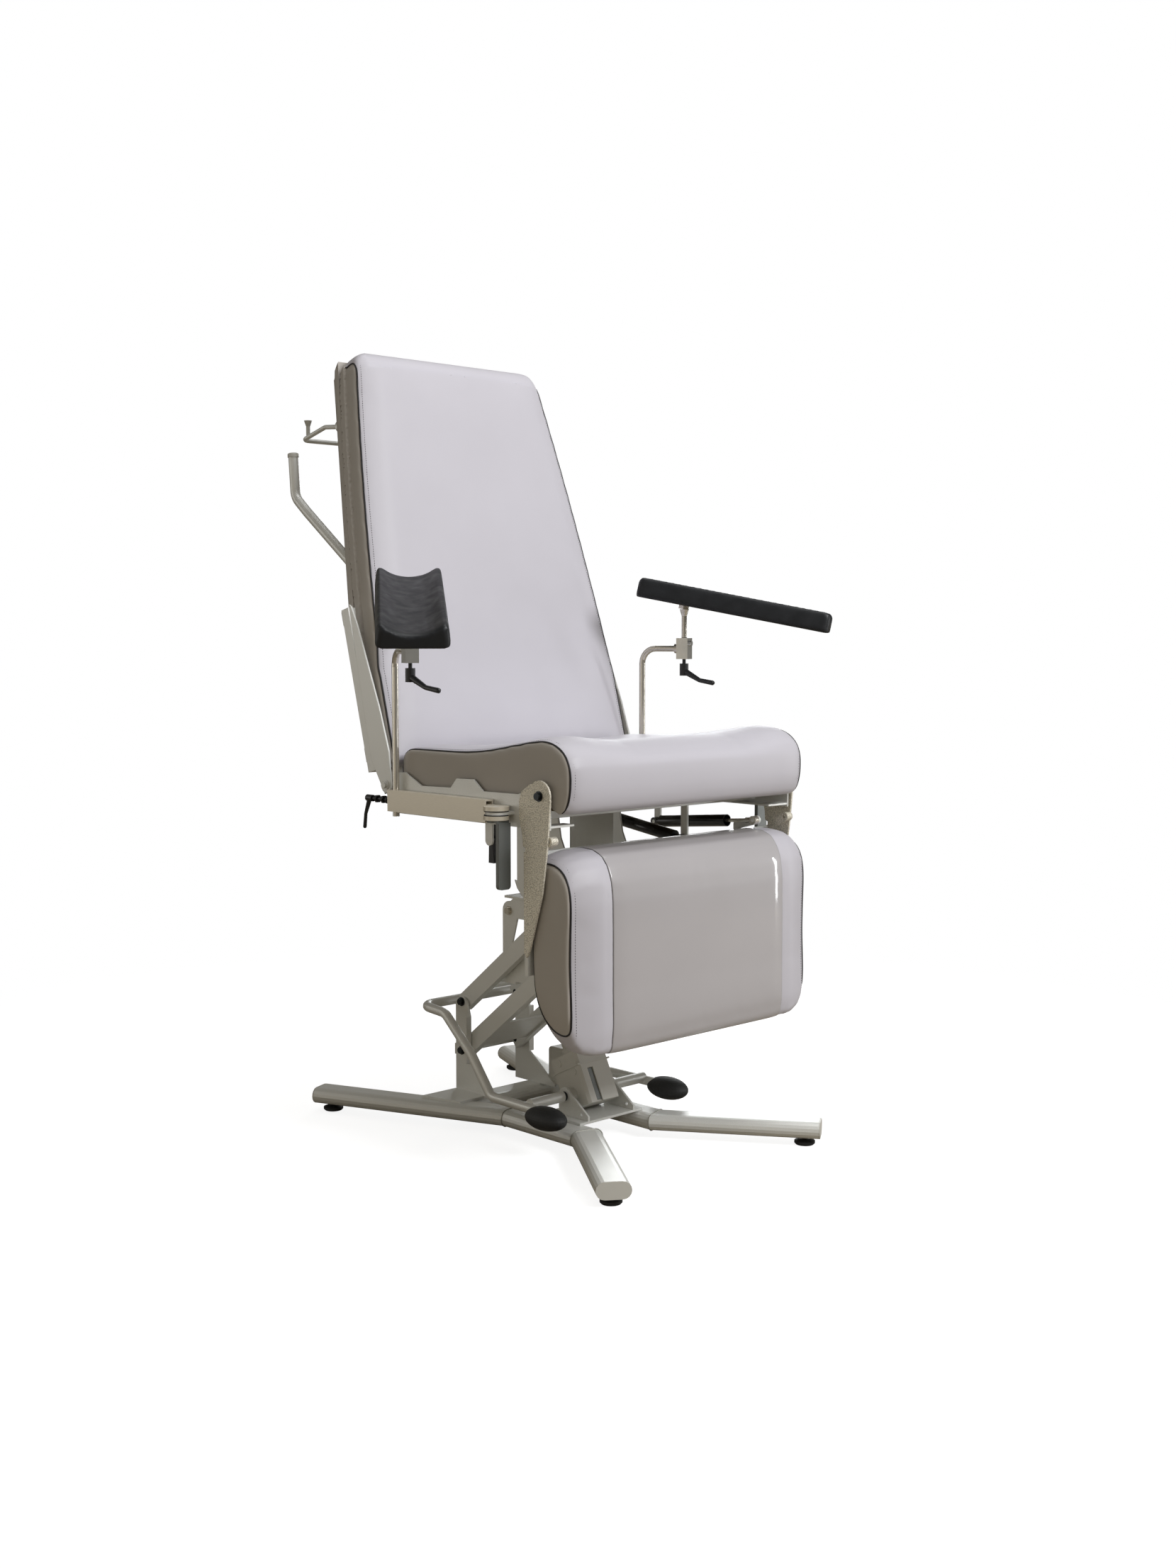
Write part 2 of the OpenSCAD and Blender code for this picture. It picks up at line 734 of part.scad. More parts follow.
module lift_carriage() {
    wide = carriage_rear_y - carriage_front_y;
    high = carriage_top - carriage_z;
    color(silver) {
        both_sides() difference() {
            side_plate(carriage_in_x, carriage_t) {
                polygon([[carriage_rear_y, carriage_z], [carriage_rear_y, drive_top_z],
                    [deck_rear_y, carriage_top], [carriage_front_y, carriage_top],
                    [carriage_front_y, carriage_z]]);
                translate([drive_top_y, drive_top_z]) circle(carriage_rear_y - drive_top_y);
            }
            side_plate(carriage_in_x - over, carriage_t + 2 * over) polygon([for (i = [0:3])
                [carriage_rear_y - wide * cut_y_shares[i], carriage_z + high * cut_z_shares[i]]]);
            for (z = [front_lower_z, front_upper_z])
                x_bar(front_pivot_y, z, pin_r, carriage_in_x - over, carriage_out_x + over);
            x_bar(drive_top_y, drive_top_z, pin_r, carriage_in_x - over, carriage_out_x + over);
        }
        // Foot flange at the rear and the deck that carries the seat
        translate([-carriage_out_x, carriage_rear_y - ear_r * 2, carriage_z - deck_t])
            cube([2 * carriage_out_x, ear_r * 3, deck_t]);
        translate([-deck_half, deck_front_y, carriage_top])
            cube([2 * deck_half, deck_rear_y - deck_front_y, deck_t]);
    }
}

module carriage_pins() {
    color(steel) {
        both_sides() for (z = [front_lower_z, front_upper_z]) {
            side_bolt(front_pivot_y, z, pin_r, carriage_in_x, arm_out_x + run_gap);
            difference() {
                x_bar(front_pivot_y, z, bolt_head_r, carriage_out_x, arm_x - run_gap);
                x_bar(front_pivot_y, z, pin_r - hair, carriage_out_x - over, arm_x);
            }
        }
        both_sides() side_bolt(drive_top_y, drive_top_z, pin_r, 0, carriage_out_x);
        // Sleeves that keep the rod's eye in the middle
        both_sides() difference() {
            x_bar(drive_top_y, drive_top_z, bolt_head_r, rod_eye_half + face_gap, carriage_in_x);
            x_bar(drive_top_y, drive_top_z, pin_r - hair, 0, carriage_out_x);
        }
    }
}

// Neck between the lift and the seat frame

neck_t = 4;
neck_x = deck_half - neck_t;
neck_rear_y = deck_rear_y - 41;
neck_front_y = deck_front_y;
neck_z = carriage_top + deck_t;
neck_h = frame_z - neck_z;
neck_shares = [[0.12, 0], [0, 0.10], [-0.05, 0.19], [0, 0.17], [0, 1], [0.76, 1], [0.82, 0.72], [1, 0.40],
    [1, 0]];
neck_lip = 22;

module seat_neck() {
    depth = neck_rear_y - neck_front_y;
    color(silver) {
        both_sides() side_plate(neck_x, neck_t)
            polygon([for (p = neck_shares) [neck_rear_y - p.x * depth, neck_z + p.y * neck_h]]);
        // Front plate with lips, and the top flanges
        translate([-neck_x, neck_front_y, neck_z]) cube([2 * neck_x, neck_t, neck_h * 0.4]);
        translate([-neck_x * 0.7, neck_front_y + depth * 0.18, neck_z + neck_h * 0.4])
            cube([neck_x * 1.4, neck_t, neck_h * 0.6]);
        translate([-neck_x * 0.7, neck_front_y, neck_z + neck_h * 0.4 - neck_t])
            cube([neck_x * 1.4, depth * 0.18 + neck_t, neck_t]);
        both_sides() translate([neck_x - neck_lip, neck_rear_y - depth * 0.76, frame_z - neck_t])
            cube([neck_lip, depth * 0.76, neck_t]);
    }
}

// Seat frame

side_x = seat_half + side_gap;
side_out_x = side_x + side_t;
swing_in_x = side_out_x + swing_gap;
board_z = roll_z + 8;
cushion_z = board_z + board_t + soft_gap;
side_edge_z = frame_z + 61;
side_rear_y = seat_rear_y - 11;
lug_r = 17;
leg_lug_r = 27;
// Upper edge of a side plate, in shares of the seat's length and the ear's height
side_edge_shares = [[0, 0.4], [0, 1], [0.035, 1], [0.135, 0], [0.315, 0.1], [0.35, 0.9], [0.45, 0.95],
    [0.505, 0.05], [0.70, 0.1]];
side_ear_h = 24;

module side_outline() {
    difference() {
        union() {
            polygon(concat([for (p = side_edge_shares)
                    [side_rear_y - p.x * seat_len, side_edge_z + p.y * side_ear_h]],
                [[leg_hinge_y, leg_hinge_z + leg_lug_r * 0.6], [leg_hinge_y - leg_lug_r * 0.8, leg_hinge_z],
                [leg_hinge_y - leg_lug_r * 0.8, frame_z], [side_rear_y, frame_z]]));
            translate([leg_hinge_y, leg_hinge_z]) circle(leg_lug_r * 0.8);
            // Lug that carries the back's hinge
            link([side_rear_y, back_hinge_z], [back_hinge_y, back_hinge_z], lug_r);
            polygon([[side_rear_y, frame_z], [side_rear_y + lug_r, frame_z],
                [back_hinge_y + lug_r * cos(40), back_hinge_z - lug_r * sin(40)], [side_rear_y,
                back_hinge_z]]);
        }
        translate([leg_hinge_y, leg_hinge_z]) circle(pin_r);
        translate([back_hinge_y, back_hinge_z]) circle(pin_r + run_gap);
    }
}

front_tab = 60;
front_tab_w = 30;
hanger_w = 30;

module seat_side_plates() {
    color(silver) both_sides() {
        side_plate(side_x, side_t) side_outline();
        // Foot flange, and the tab under the front roll
        translate([side_x - cross_s, leg_hinge_y, frame_z])
            cube([cross_s, side_rear_y - leg_hinge_y, side_t]);
        translate([side_x - front_tab, leg_hinge_y - front_tab_w * 0.7, frame_z + side_t])
            cube([front_tab, front_tab_w, side_t]);
    }
    // Hanger and pin of the gas release lever, on the sitter's right
    color(silver) {
        translate([-side_x, paddle_y - hanger_w / 2, frame_z]) cube([side_x + paddle_x - face_gap,
            hanger_w, side_t]);
        side_plate(paddle_x - face_gap - side_t, side_t)
            link([paddle_y, paddle_z], [paddle_y, frame_z + side_t / 2], hanger_w / 2 - side_t);
        x_bar(paddle_y, paddle_z, paddle_pin_r, paddle_x - side_t, paddle_x + 2 * paddle_t + face_gap);
        x_bar(paddle_y, paddle_z, 2 * paddle_pin_r, paddle_x + 2 * paddle_t + face_gap,
            paddle_x + 3 * paddle_t);
    }
}

tube_ys = [neck_rear_y - 40, neck_rear_y - 130];
tube_z = board_z - cross_s;
gas_lug_t = 5;

// A lug plate for the fixed end of a gas spring
module gas_lug(x, p, r, top_y, top_z) {
    side_plate(x, gas_lug_t) difference() {
        link(p, [top_y, top_z], r);
        translate(p) circle(gas_pin_r);
    }
}

module seat_cross_tubes() {
    wall = arm_wall;
    color(silver) {
        for (y = concat(tube_ys, [leg_gas_tail.x, back_gas_tail.x])) difference() {
            translate([-side_x, y - cross_s / 2, tube_z]) cube([2 * side_x, cross_s, cross_s]);
            translate([wall - side_x, y - cross_s / 2 + wall, tube_z + wall])
                cube([2 * (side_x - wall), cross_s - 2 * wall, cross_s - 2 * wall]);
        }
        // Blocks from the neck's flanges up to the tubes
        both_sides() for (y = tube_ys) translate([neck_x - neck_lip, y - cross_s / 2, frame_z])
            cube([neck_lip, cross_s, tube_z - frame_z]);
        gas_lug(leg_gas_x + gas_eye_half + face_gap, leg_gas_tail, gas_eye_r, leg_gas_tail.x, tube_z);
        gas_lug(back_gas_x + gas_eye_half + face_gap, back_gas_tail, gas_eye_r, back_gas_tail.x, tube_z);
        // Pins of the two fixed ends
        x_bar(leg_gas_tail.x, leg_gas_tail.y, gas_pin_r, leg_gas_x - gas_eye_half,
            leg_gas_x + gas_eye_half + gas_lug_t);
        x_bar(back_gas_tail.x, back_gas_tail.y, gas_pin_r, back_gas_x - gas_eye_half,
            back_gas_x + gas_eye_half + gas_lug_t);
    }
}

board_half = seat_half - 14;
board_front_y = seat_rear_y - seat_len * 0.9 + 2;
board_rear_in = 17;
plug_r = 8;
plug_h = 4;
plug_x = seat_half * 0.56;

module seat_board() {
    color("#8a7b66") translate([-board_half, board_front_y, board_z])
        cube([2 * board_half, seat_rear_y - board_rear_in - board_front_y, board_t]);
}

module board_plugs() {
    color(dark) both_sides() translate([plug_x, board_front_y + plug_r * 1.5, board_z - plug_h])
        cylinder(h = plug_h, r = plug_r);
}

// Seat cushion, in shares of its length and height
seat_side_shares = [[0.004, 0.13], [0, 0.25], [0, 0.62], [0.02, 0.72], [0.055, 0.755], [0.1, 0.765],
    [0.2, 0.77],
    [0.29, 0.775], [0.39, 0.79], [0.483, 0.82], [0.58, 0.86], [0.676, 0.915], [0.77, 0.965], [0.83, 0.995],
    [0.88, 0.985], [0.925, 0.935], [0.96, 0.86], [0.985, 0.76], [0.998, 0.62], [1, 0.48], [0.998, 0.32],
    [0.99, 0.17], [0.975, 0.06], [0.95, 0.005], [0.925, 0], [0.912, 0.05], [0.905, 0.13], [0.7, 0.13],
    [0.35, 0.13]];
half_x_shares = [0.45, 0.64, 0.76, 0.86, 0.93, 0.97, 0.992, 1];
seat_x_shares = mirrored(half_x_shares);
edge_pull = 9;

// How far a cushion's ends are drawn in at a share of its half width
function end_pull(share, pull) = pull * pow(clamp((abs(share) - 0.93) / 0.07, 0, 1), 2);
function toward(p, c, d) = p - unit(p - c) * d;

function seat_ring(share) = let (
        mid = [0.5, 0.4],
        dish = seat_dish * (1 - smooth((abs(share) - 0.45) / 0.4)))
    [for (p = seat_side_shares) let (
            drop = dish * smooth((p.y - 0.6) / 0.3),
            q = toward([seat_rear_y - p.x * seat_len, roll_z + p.y * seat_h],
                [seat_rear_y - mid.x * seat_len, roll_z + mid.y * seat_h], end_pull(share, edge_pull)))
        [share * seat_half, q.x, p.y == 0.13 ? cushion_z : max(q.y - drop, p.x < 0.9 ? cushion_z : roll_z)]];

module seat_cushion() {
    color(vinyl) skin([for (s = seat_x_shares) seat_ring(s)]);
}

module leg_hinge_pins() {
    color(steel) both_sides() side_bolt(leg_hinge_y, leg_hinge_z, pin_r, side_x, swing_in_x + leg_plate_t);
}

// Swing tongues on the side plates, and the washers that brake them

tongue_z = frame_z + 24;
tongue_t = 6;
washer_h = 2;
disc_t = 8;
swing_pin_r = 5;

module tongue_outline(r) {
    translate([side_out_x, swing_y - r]) square([swing_x - side_out_x, 2 * r]);
    translate([swing_x, swing_y]) circle(r);
}

module swing_tongues() {
    color(silver) both_sides() {
        translate([0, 0, tongue_z]) linear_extrude(tongue_t) tongue_outline(swing_r - 3);
        translate([swing_x, swing_y, tongue_z - washer_h - disc_t])
            cylinder(h = tongue_t + 2 * washer_h + 2 * disc_t, r = swing_pin_r);
    }
}

module friction_washers() {
    color(dark) both_sides() for (z = [tongue_z - washer_h, tongue_z + tongue_t]) difference() {
        translate([swing_x, swing_y, z]) cylinder(h = washer_h, r = swing_r - 1);
        translate([swing_x, swing_y, z - over]) cylinder(h = washer_h + 2 * over, r = swing_pin_r);
    }
}

// Paddle that frees the gas springs

paddle_x = 40 - seat_half;
paddle_y = -158;
paddle_z = frame_z - 40;
paddle_pin_r = 4;
paddle_len = 46;
paddle_t = 5;

module gas_release_lever() {
    color(dark) difference() {
        union() {
            side_plate(paddle_x, 2 * paddle_t) link([paddle_y, paddle_z], [paddle_y, frame_z - plug_h],
                paddle_t);
            x_bar(paddle_y, paddle_z, 2 * paddle_t, paddle_x, paddle_x + 2 * paddle_t);
            side_plate(paddle_x, 2 * paddle_t) polygon([[paddle_y + paddle_t, paddle_z - paddle_t],
                [paddle_y - paddle_t, paddle_z - paddle_t], [paddle_y - paddle_t * 2, paddle_z - paddle_len],
                [paddle_y + paddle_t * 1.2, paddle_z - paddle_len]]);
        }
        x_bar(paddle_y, paddle_z, paddle_pin_r + run_gap, paddle_x - over, paddle_x + 2 * paddle_t + over);
    }
}

// Leg rest

plate_out_x = swing_in_x + leg_plate_t;
leg_plate_r = 30;
// Plate below its round head, in shares of its width and drop
leg_plate_w = 84;
leg_plate_drop = 312;
leg_plate_shares = [[-0.36, 0.02], [-0.31, 0.18], [-0.25, 0.33], [-0.09, 0.60], [0.30, 0.93], [0.37, 0.98],
    [0.44, 1], [0.52, 0.97], [0.52, 0.35], [0.47, 0.35], [0.47, 0.325], [0.55, 0.315], [0.57, 0.25],
    [0.68, 0.14], [0.68, 0.04], [0.60, -0.02], [0.30, -0.07]];
inner_lug_r = 9;
inner_lug_hole_r = 4;
inner_lug = [leg_hinge_y - 22, leg_top_z + inner_lug_r * 2];
inner_lug_root = [leg_hinge_y - 6, leg_top_z + inner_lug_r + 2 * soft_gap];

module leg_side_plates() {
    color(hammer) both_sides() difference() {
        union() {
            side_plate(swing_in_x, leg_plate_t) {
                polygon([for (p = leg_plate_shares)
                    [leg_hinge_y + p.x * leg_plate_w, leg_hinge_z - p.y * leg_plate_drop]]);
                translate([leg_hinge_y, leg_hinge_z]) circle(leg_plate_r);
            }
            translate([swing_in_x - lug_r, 0, 0]) side_plate(0, lug_r) difference() {
                link(inner_lug, inner_lug_root, inner_lug_r);
                translate(inner_lug) circle(inner_lug_hole_r);
            }
        }
        x_bar(leg_hinge_y, leg_hinge_z, pin_r + run_gap, swing_in_x - over, plate_out_x + over);
    }
}

leg_board_t = 9;
leg_board_z = leg_top_z - leg_h * 0.62;
leg_board_top = leg_top_z - 8;
leg_crank_turn = -6;
leg_gas_end = [leg_hinge_y, leg_hinge_z] + polar(leg_crank, leg_crank_turn - 90);
gas_pin_r = 4;
gas_eye_r = 9;
gas_eye_half = 6;

module leg_board() {
    lug_x = leg_gas_x + gas_eye_half + face_gap;
    color(silver) {
        translate([-swing_in_x, leg_rear_y, leg_board_z])
            cube([2 * swing_in_x, leg_board_t, leg_board_top - leg_board_z]);
        // Lug and pin of the gas spring's moving end
        side_plate(lug_x, gas_lug_t) {
            link(leg_gas_end, [leg_rear_y + gas_eye_r, leg_board_top + gas_eye_r], gas_eye_r);
            translate([leg_rear_y, leg_board_top - gas_eye_r]) square([2 * gas_eye_r, 2 * gas_eye_r]);
        }
        x_bar(leg_gas_end.x, leg_gas_end.y, gas_pin_r, leg_gas_x - gas_eye_half, lug_x);
    }
}

// Leg cushion profile, in shares of its depth and height
leg_side_shares = [[0, 0.62], [0, 0.35], [0, 0.12], [0.03, 0.04], [0.12, 0.008], [0.3, 0], [0.55, 0.006],
    [0.74, 0.03],
    [0.87, 0.08], [0.94, 0.15], [0.965, 0.25], [0.965, 0.4], [0.965, 0.55], [0.965, 0.68], [0.975, 0.8],
    [0.985, 0.9], [0.97, 0.965], [0.9, 0.995], [0.76, 1], [0.58, 0.985], [0.4, 0.945], [0.22, 0.88],
    [0.08, 0.78], [0.02, 0.7]];
seam_share = leg_panel_half / leg_half;
leg_x_shares = mirrored([seam_share - 0.018, seam_share, seam_share + 0.018, 0.85, 0.92, 0.965, 0.99, 1]);
leg_side_lift = 96;
leg_side_drop = 22;
leg_side_in = 10;
seam_in = 3;

function leg_ring(share, grow = 0) = let (
        outer = smooth((abs(share) - 0.76) / 0.24),
        corner = round_in(1.0001 - (abs(share) - seam_share) / (1 - seam_share), 1),
        seam = abs(abs(share) - seam_share) < hair ? seam_in : 0,
        mid = [leg_rear_y - leg_depth / 2, leg_top_z - leg_h / 2])
    [for (p = leg_side_shares) let (
            y = leg_rear_y - p.x * leg_depth + leg_side_in * outer * smooth((p.x - 0.3) / 0.5),
            z = leg_top_z - p.y * leg_h + leg_side_lift * corner * pow(clamp((p.y - 0.35) / 0.65, 0, 1), 2)
                - leg_side_drop * corner * smooth((0.3 - p.y) / 0.3),
            q = toward([y, z], mid, end_pull(share, edge_pull) + (p.x > 0.2 ? seam : 0) - grow))
        [share * leg_half, min(q.x, leg_rear_y - soft_gap), q.y]];

module leg_cushion() {
    color(vinyl) skin([for (s = leg_x_shares) leg_ring(s)]);
}

// Clear cover over the middle panel
module leg_clear_cover() {
    half = leg_panel_half - 2 * seam_in;
    from = 5;
    to = 18;
    inner = leg_ring(0, soft_gap);
    outer = leg_ring(0, soft_gap + cover_t);
    color("#d2d0d6") side_plate(-half, 2 * half) polygon(concat(
        [for (i = [from:to]) [outer[i].y, outer[i].z]],
        [for (i = [to:-1:from]) [inner[i].y, inner[i].z]]));
}

// Back, drawn in its own plane

module on_back() {
    translate([0, back_y, back_z]) rotate([-back_lean, 0, 0]) children();
}

// A place of the chair in the back's own plane
function in_back(p) = let (d = p - [back_y, back_z])
    [d.x * cos(back_lean) - d.y * sin(back_lean), d.x * sin(back_lean) + d.y * cos(back_lean)];

back_hinge = in_back([back_hinge_y, back_hinge_z]);
function back_half_at(u) = lerp(back_low_half, back_top_half,
    clamp((u - back_taper_u) / (back_top_u - back_taper_u), 0, 1));

upright_w = 22;
upright_d = 24;
upright_in_x = swing_in_x - upright_w;
upright_y = back_thick - upright_d + back_board_t + soft_gap;
upright_top_u = 296;
back_rear_y = back_thick + soft_gap + back_board_t;
back_bar_d = 16;
back_bar_half = upright_in_x + upright_w / 2;
back_bar_h = 30;

// Side plate outline, in shares of its depth and height
back_plate_d = 68;
back_plate_h = 392;
back_plate_shares = [[0.62, -0.045], [1, 0.153], [0.97, 0.43], [0.82, 1], [0.74, 0.985], [0.59, 0.875],
    [0.19, 0.40], [0.09, 0.166], [0.235, 0]];

module back_side_plates() {
    color(silver) on_back() both_sides() side_plate(swing_in_x, leg_plate_t) difference() {
        union() {
            polygon([for (p = back_plate_shares) [p.x * back_plate_d, back_hinge.y + p.y * back_plate_h]]);
            translate(back_hinge) circle(lug_r);
        }
        translate(back_hinge) circle(pin_r);
    }
}

torsion_r = 13;
crank_t = 6;
back_crank_turn = 10;
gusset_x = upright_in_x - 28;
gusset_drop = 12;
back_gas_end = [back_hinge_y, back_hinge_z] + polar(back_crank, back_crank_turn - 90);

module back_frame() {
    low = -back_foot_u - soft_gap * 2;
    color(silver) {
        on_back() {
            // Uprights and the bars behind the board
            both_sides() translate([upright_in_x, upright_y, -back_foot_u])
                cube([upright_w, upright_d, upright_top_u + back_foot_u]);
            for (u = [-back_bar_h, upright_top_u - back_bar_h]) translate([-back_bar_half, back_rear_y, u])
                cube([2 * back_bar_half, back_bar_d, back_bar_h]);
            // Torsion tube, its pins, and the webs up to the lower bar
            both_sides() {
                x_bar(back_hinge.x, back_hinge.y, torsion_r, 0, side_x - washer_t);
                side_bolt(back_hinge.x, back_hinge.y, pin_r, side_x - washer_t, plate_out_x);
                side_plate(gusset_x, crank_t) polygon([[back_hinge.x, low],
                    [back_hinge.x, back_hinge.y - torsion_r / 2], [back_rear_y, low - gusset_drop],
                    [back_rear_y + back_bar_d, low + gusset_drop], [back_rear_y + back_bar_d, 0],
                    [back_rear_y, 0], [back_rear_y, low]]);
            }
        }
        // Crank and pin of the back's gas spring
        side_plate(back_gas_x + gas_eye_half + face_gap, crank_t)
            link(back_gas_end, [back_hinge_y, back_hinge_z], gas_eye_r);
        x_bar(back_gas_end.x, back_gas_end.y, gas_pin_r, back_gas_x - gas_eye_half,
            back_gas_x + gas_eye_half + crank_t);
    }
}

board_in = 1;
board_top_in = 10;

module back_board() {
    u_top = back_top_u - board_top_in;
    low_half = upright_in_x - hair;
    color(vinyl) on_back() translate([0, back_rear_y - hair, 0]) rotate([90, 0, 0])
        linear_extrude(back_board_t) polygon([
            [-low_half, -back_foot_u], [low_half, -back_foot_u], [low_half, upright_top_u],
            [back_half_at(upright_top_u) - board_in, upright_top_u + board_in],
            [back_half_at(u_top) - board_in, u_top], [board_in - back_half_at(u_top), u_top],
            [board_in - back_half_at(upright_top_u), upright_top_u + board_in],
            [-low_half, upright_top_u]]);
}

// Back cushion ring, in shares of its half width and thickness
back_ring_shares = [[-1, 0.12], [-0.985, 0.04], [-0.955, 0], [-0.9, -0.03], [-0.84, -0.075], [-0.79, -0.105],
    [-0.6, -0.12], [-0.3, -0.13], [0, -0.135], [0.3, -0.13], [0.6, -0.12], [0.79, -0.105], [0.84, -0.075],
    [0.9, -0.03], [0.955, 0], [0.985, 0.04], [1, 0.12], [1, 0.35], [0.995, 0.65], [0.985, 0.9], [0.97, 0.98],
    [0.94, 1], [0.5, 1], [0, 1], [-0.5, 1], [-0.94, 1], [-0.97, 0.98], [-0.985, 0.9], [-0.995, 0.65],
    [-1, 0.35]];
back_u_shares = [0, 0.006, 0.02, 0.05, 0.1, 0.2, 0.32, 0.45, 0.6, 0.75, 0.86, 0.92, 0.955, 0.98, 0.993, 1];
back_round = 38;
back_crown_u = 70;

// How far a round edge draws in, as on a quarter circle
function round_in(d, r) = d >= r ? 0 : r - sqrt(max(0, r * r - (r - d) * (r - d)));

function back_ring(share) = let (
        u = -back_foot_u + share * (back_top_u + back_foot_u),
        top_in = round_in(back_top_u - u, back_round),
        foot_in = round_in(u + back_foot_u, back_round / 3),
        half = back_half_at(u) - top_in * 0.9 - foot_in * 0.4,
        crown = smooth((u + back_foot_u) / back_crown_u))
    [for (p = back_ring_shares) let (
            pull = top_in * 0.75 + foot_in,
            y = p.y * back_thick * (p.y < 0 ? crown : 1),
            shift = p.y < 0.5 ? pull * (1 - p.y) * 0.9 : -pull * 0.25 * (p.y - 0.5) * 2)
        [p.x * half, min(y + shift, back_thick), u]];

module back_cushion() {
    cut_x = upright_in_x - soft_gap;
    color(vinyl) on_back() difference() {
        skin([for (s = back_u_shares) back_ring(s)]);
        both_sides() translate([cut_x, upright_y - soft_gap, -back_foot_u - over])
            cube([back_low_half, back_thick, upright_top_u + back_foot_u + over + soft_gap]);
    }
}

// Push handles on the back's upper board
handle_y = back_rear_y + handle_r;
handle_path = [[handle_x, handle_y, upright_top_u], [handle_x, handle_y, 400], [handle_x, handle_y + 132,
    561],
    [handle_x, handle_y + 166, 606], [handle_x, handle_y + 150, 694]];
handle_bend = 36;
grip_cap_r = handle_r + 1.5;
grip_cap_h = 10;
grip_cap_shares = [[0, 0], [1, 0], [1, 0.6], [0.93, 0.8], [0.75, 0.94], [0.5, 1], [0, 1]];

module push_handles() {
    color(silver) on_back() both_sides() bent_tube([for (p = handle_path)
        [p.x, p.y, p.z]], handle_r, handle_bend);
}

module push_handle_caps() {
    tip = handle_path[4];
    color(plastic) on_back() both_sides() aim(tip, 2 * tip - handle_path[3]) rotate_extrude()
        polygon([for (p = grip_cap_shares) [p.x * grip_cap_r, p.y * grip_cap_h]]);
}

// Roll holder behind the head end
holder_path = [[holder_half, back_rear_y + holder_r, 712], [holder_half, back_rear_y + 64, 732],
    [holder_half, back_rear_y + 154, 733], [-holder_half, back_rear_y + 154, 733],
    [-holder_half, back_rear_y + 64, 732], [-holder_half, back_rear_y + holder_r, 712]];
holder_bend = 16;
peg_h = 40;
peg_lean = back_lean;
peg_cap_r = 9;
peg_cap_h = 12;

module roll_holder() {
    color(silver) on_back() {
        bent_tube(holder_path, holder_r, holder_bend);
        // Round foot plates on the board
        for (i = [0, 5]) translate([holder_path[i].x, back_rear_y, holder_path[i].z])
            rotate([-90, 0, 0]) cylinder(h = 2 * holder_r, r = 3 * holder_r);
    }
}

module roll_holder_pegs() {
    color(plastic) on_back() both_sides()
        translate(holder_path[2] - [holder_bend, 0, -holder_r / cos(peg_lean) - 3 * run_gap])
        rotate([peg_lean, 0, 0]) {
            cylinder(h = peg_h - peg_cap_h, r = holder_r * 0.9);
            translate([0, 0, peg_h - peg_cap_h]) cylinder(h = peg_cap_h, r1 = holder_r, r2 = peg_cap_r);
        }
}

// Gas springs

leg_gas_tail = [leg_hinge_y + 282, frame_z - 48];
back_gas_tail = [leg_hinge_y + 82, frame_z - 60];
leg_gas_body = 215;
back_gas_body = 240;
leg_gas_rod_len = 200;
back_gas_rod_len = 226;
gas_floor = 22;
gas_eye_gap = 0.1;

// Places the children along the spring
module along_gas(x, p, q) {
    d = q - p;
    translate([x, p.x, p.y]) rotate([-atan2(d.x, d.y), 0, 0]) children();
}

module gas_cylinder(x, tail, end, long) {
    color(dark) along_gas(x, tail, end) difference() {
        union() {
            x_bar(0, 0, gas_eye_r, -gas_eye_half, gas_eye_half);
            cylinder(h = gas_floor, r = gas_eye_half);
            translate([0, 0, gas_floor - gas_wall]) cylinder(h = long - gas_floor + gas_wall, r = gas_r);
        }
        x_bar(0, 0, gas_pin_r + gas_eye_gap, -gas_eye_r, gas_eye_r);
        translate([0, 0, gas_floor + gas_wall]) cylinder(h = long, r = gas_r - gas_wall);
    }
}

module gas_rod(x, tail, end, long) {
    color(steel) along_gas(x, end, tail) difference() {
        union() {
            x_bar(0, 0, gas_eye_r, -gas_eye_half, gas_eye_half);
            cylinder(h = gas_floor, r = gas_eye_half);
            cylinder(h = long, r = gas_rod_r);
        }
        x_bar(0, 0, gas_pin_r + gas_eye_gap, -gas_eye_r, gas_eye_r);
    }
}

module leg_gas_cylinder() { gas_cylinder(leg_gas_x, leg_gas_tail, leg_gas_end, leg_gas_body); }
module leg_gas_rod() { gas_rod(leg_gas_x, leg_gas_tail, leg_gas_end, leg_gas_rod_len); }
module back_gas_cylinder() { gas_cylinder(back_gas_x, back_gas_tail, back_gas_end, back_gas_body); }
module back_gas_rod() { gas_rod(back_gas_x, back_gas_tail, back_gas_end, back_gas_rod_len); }

// Arm supports

bar_z = tongue_z + tongue_t / 2 - bar_h / 2;
bar_front_y = swing_y + swing_r + 13;
bar_wall = 3;
fork_w = 14;
post_gap = 0.1;

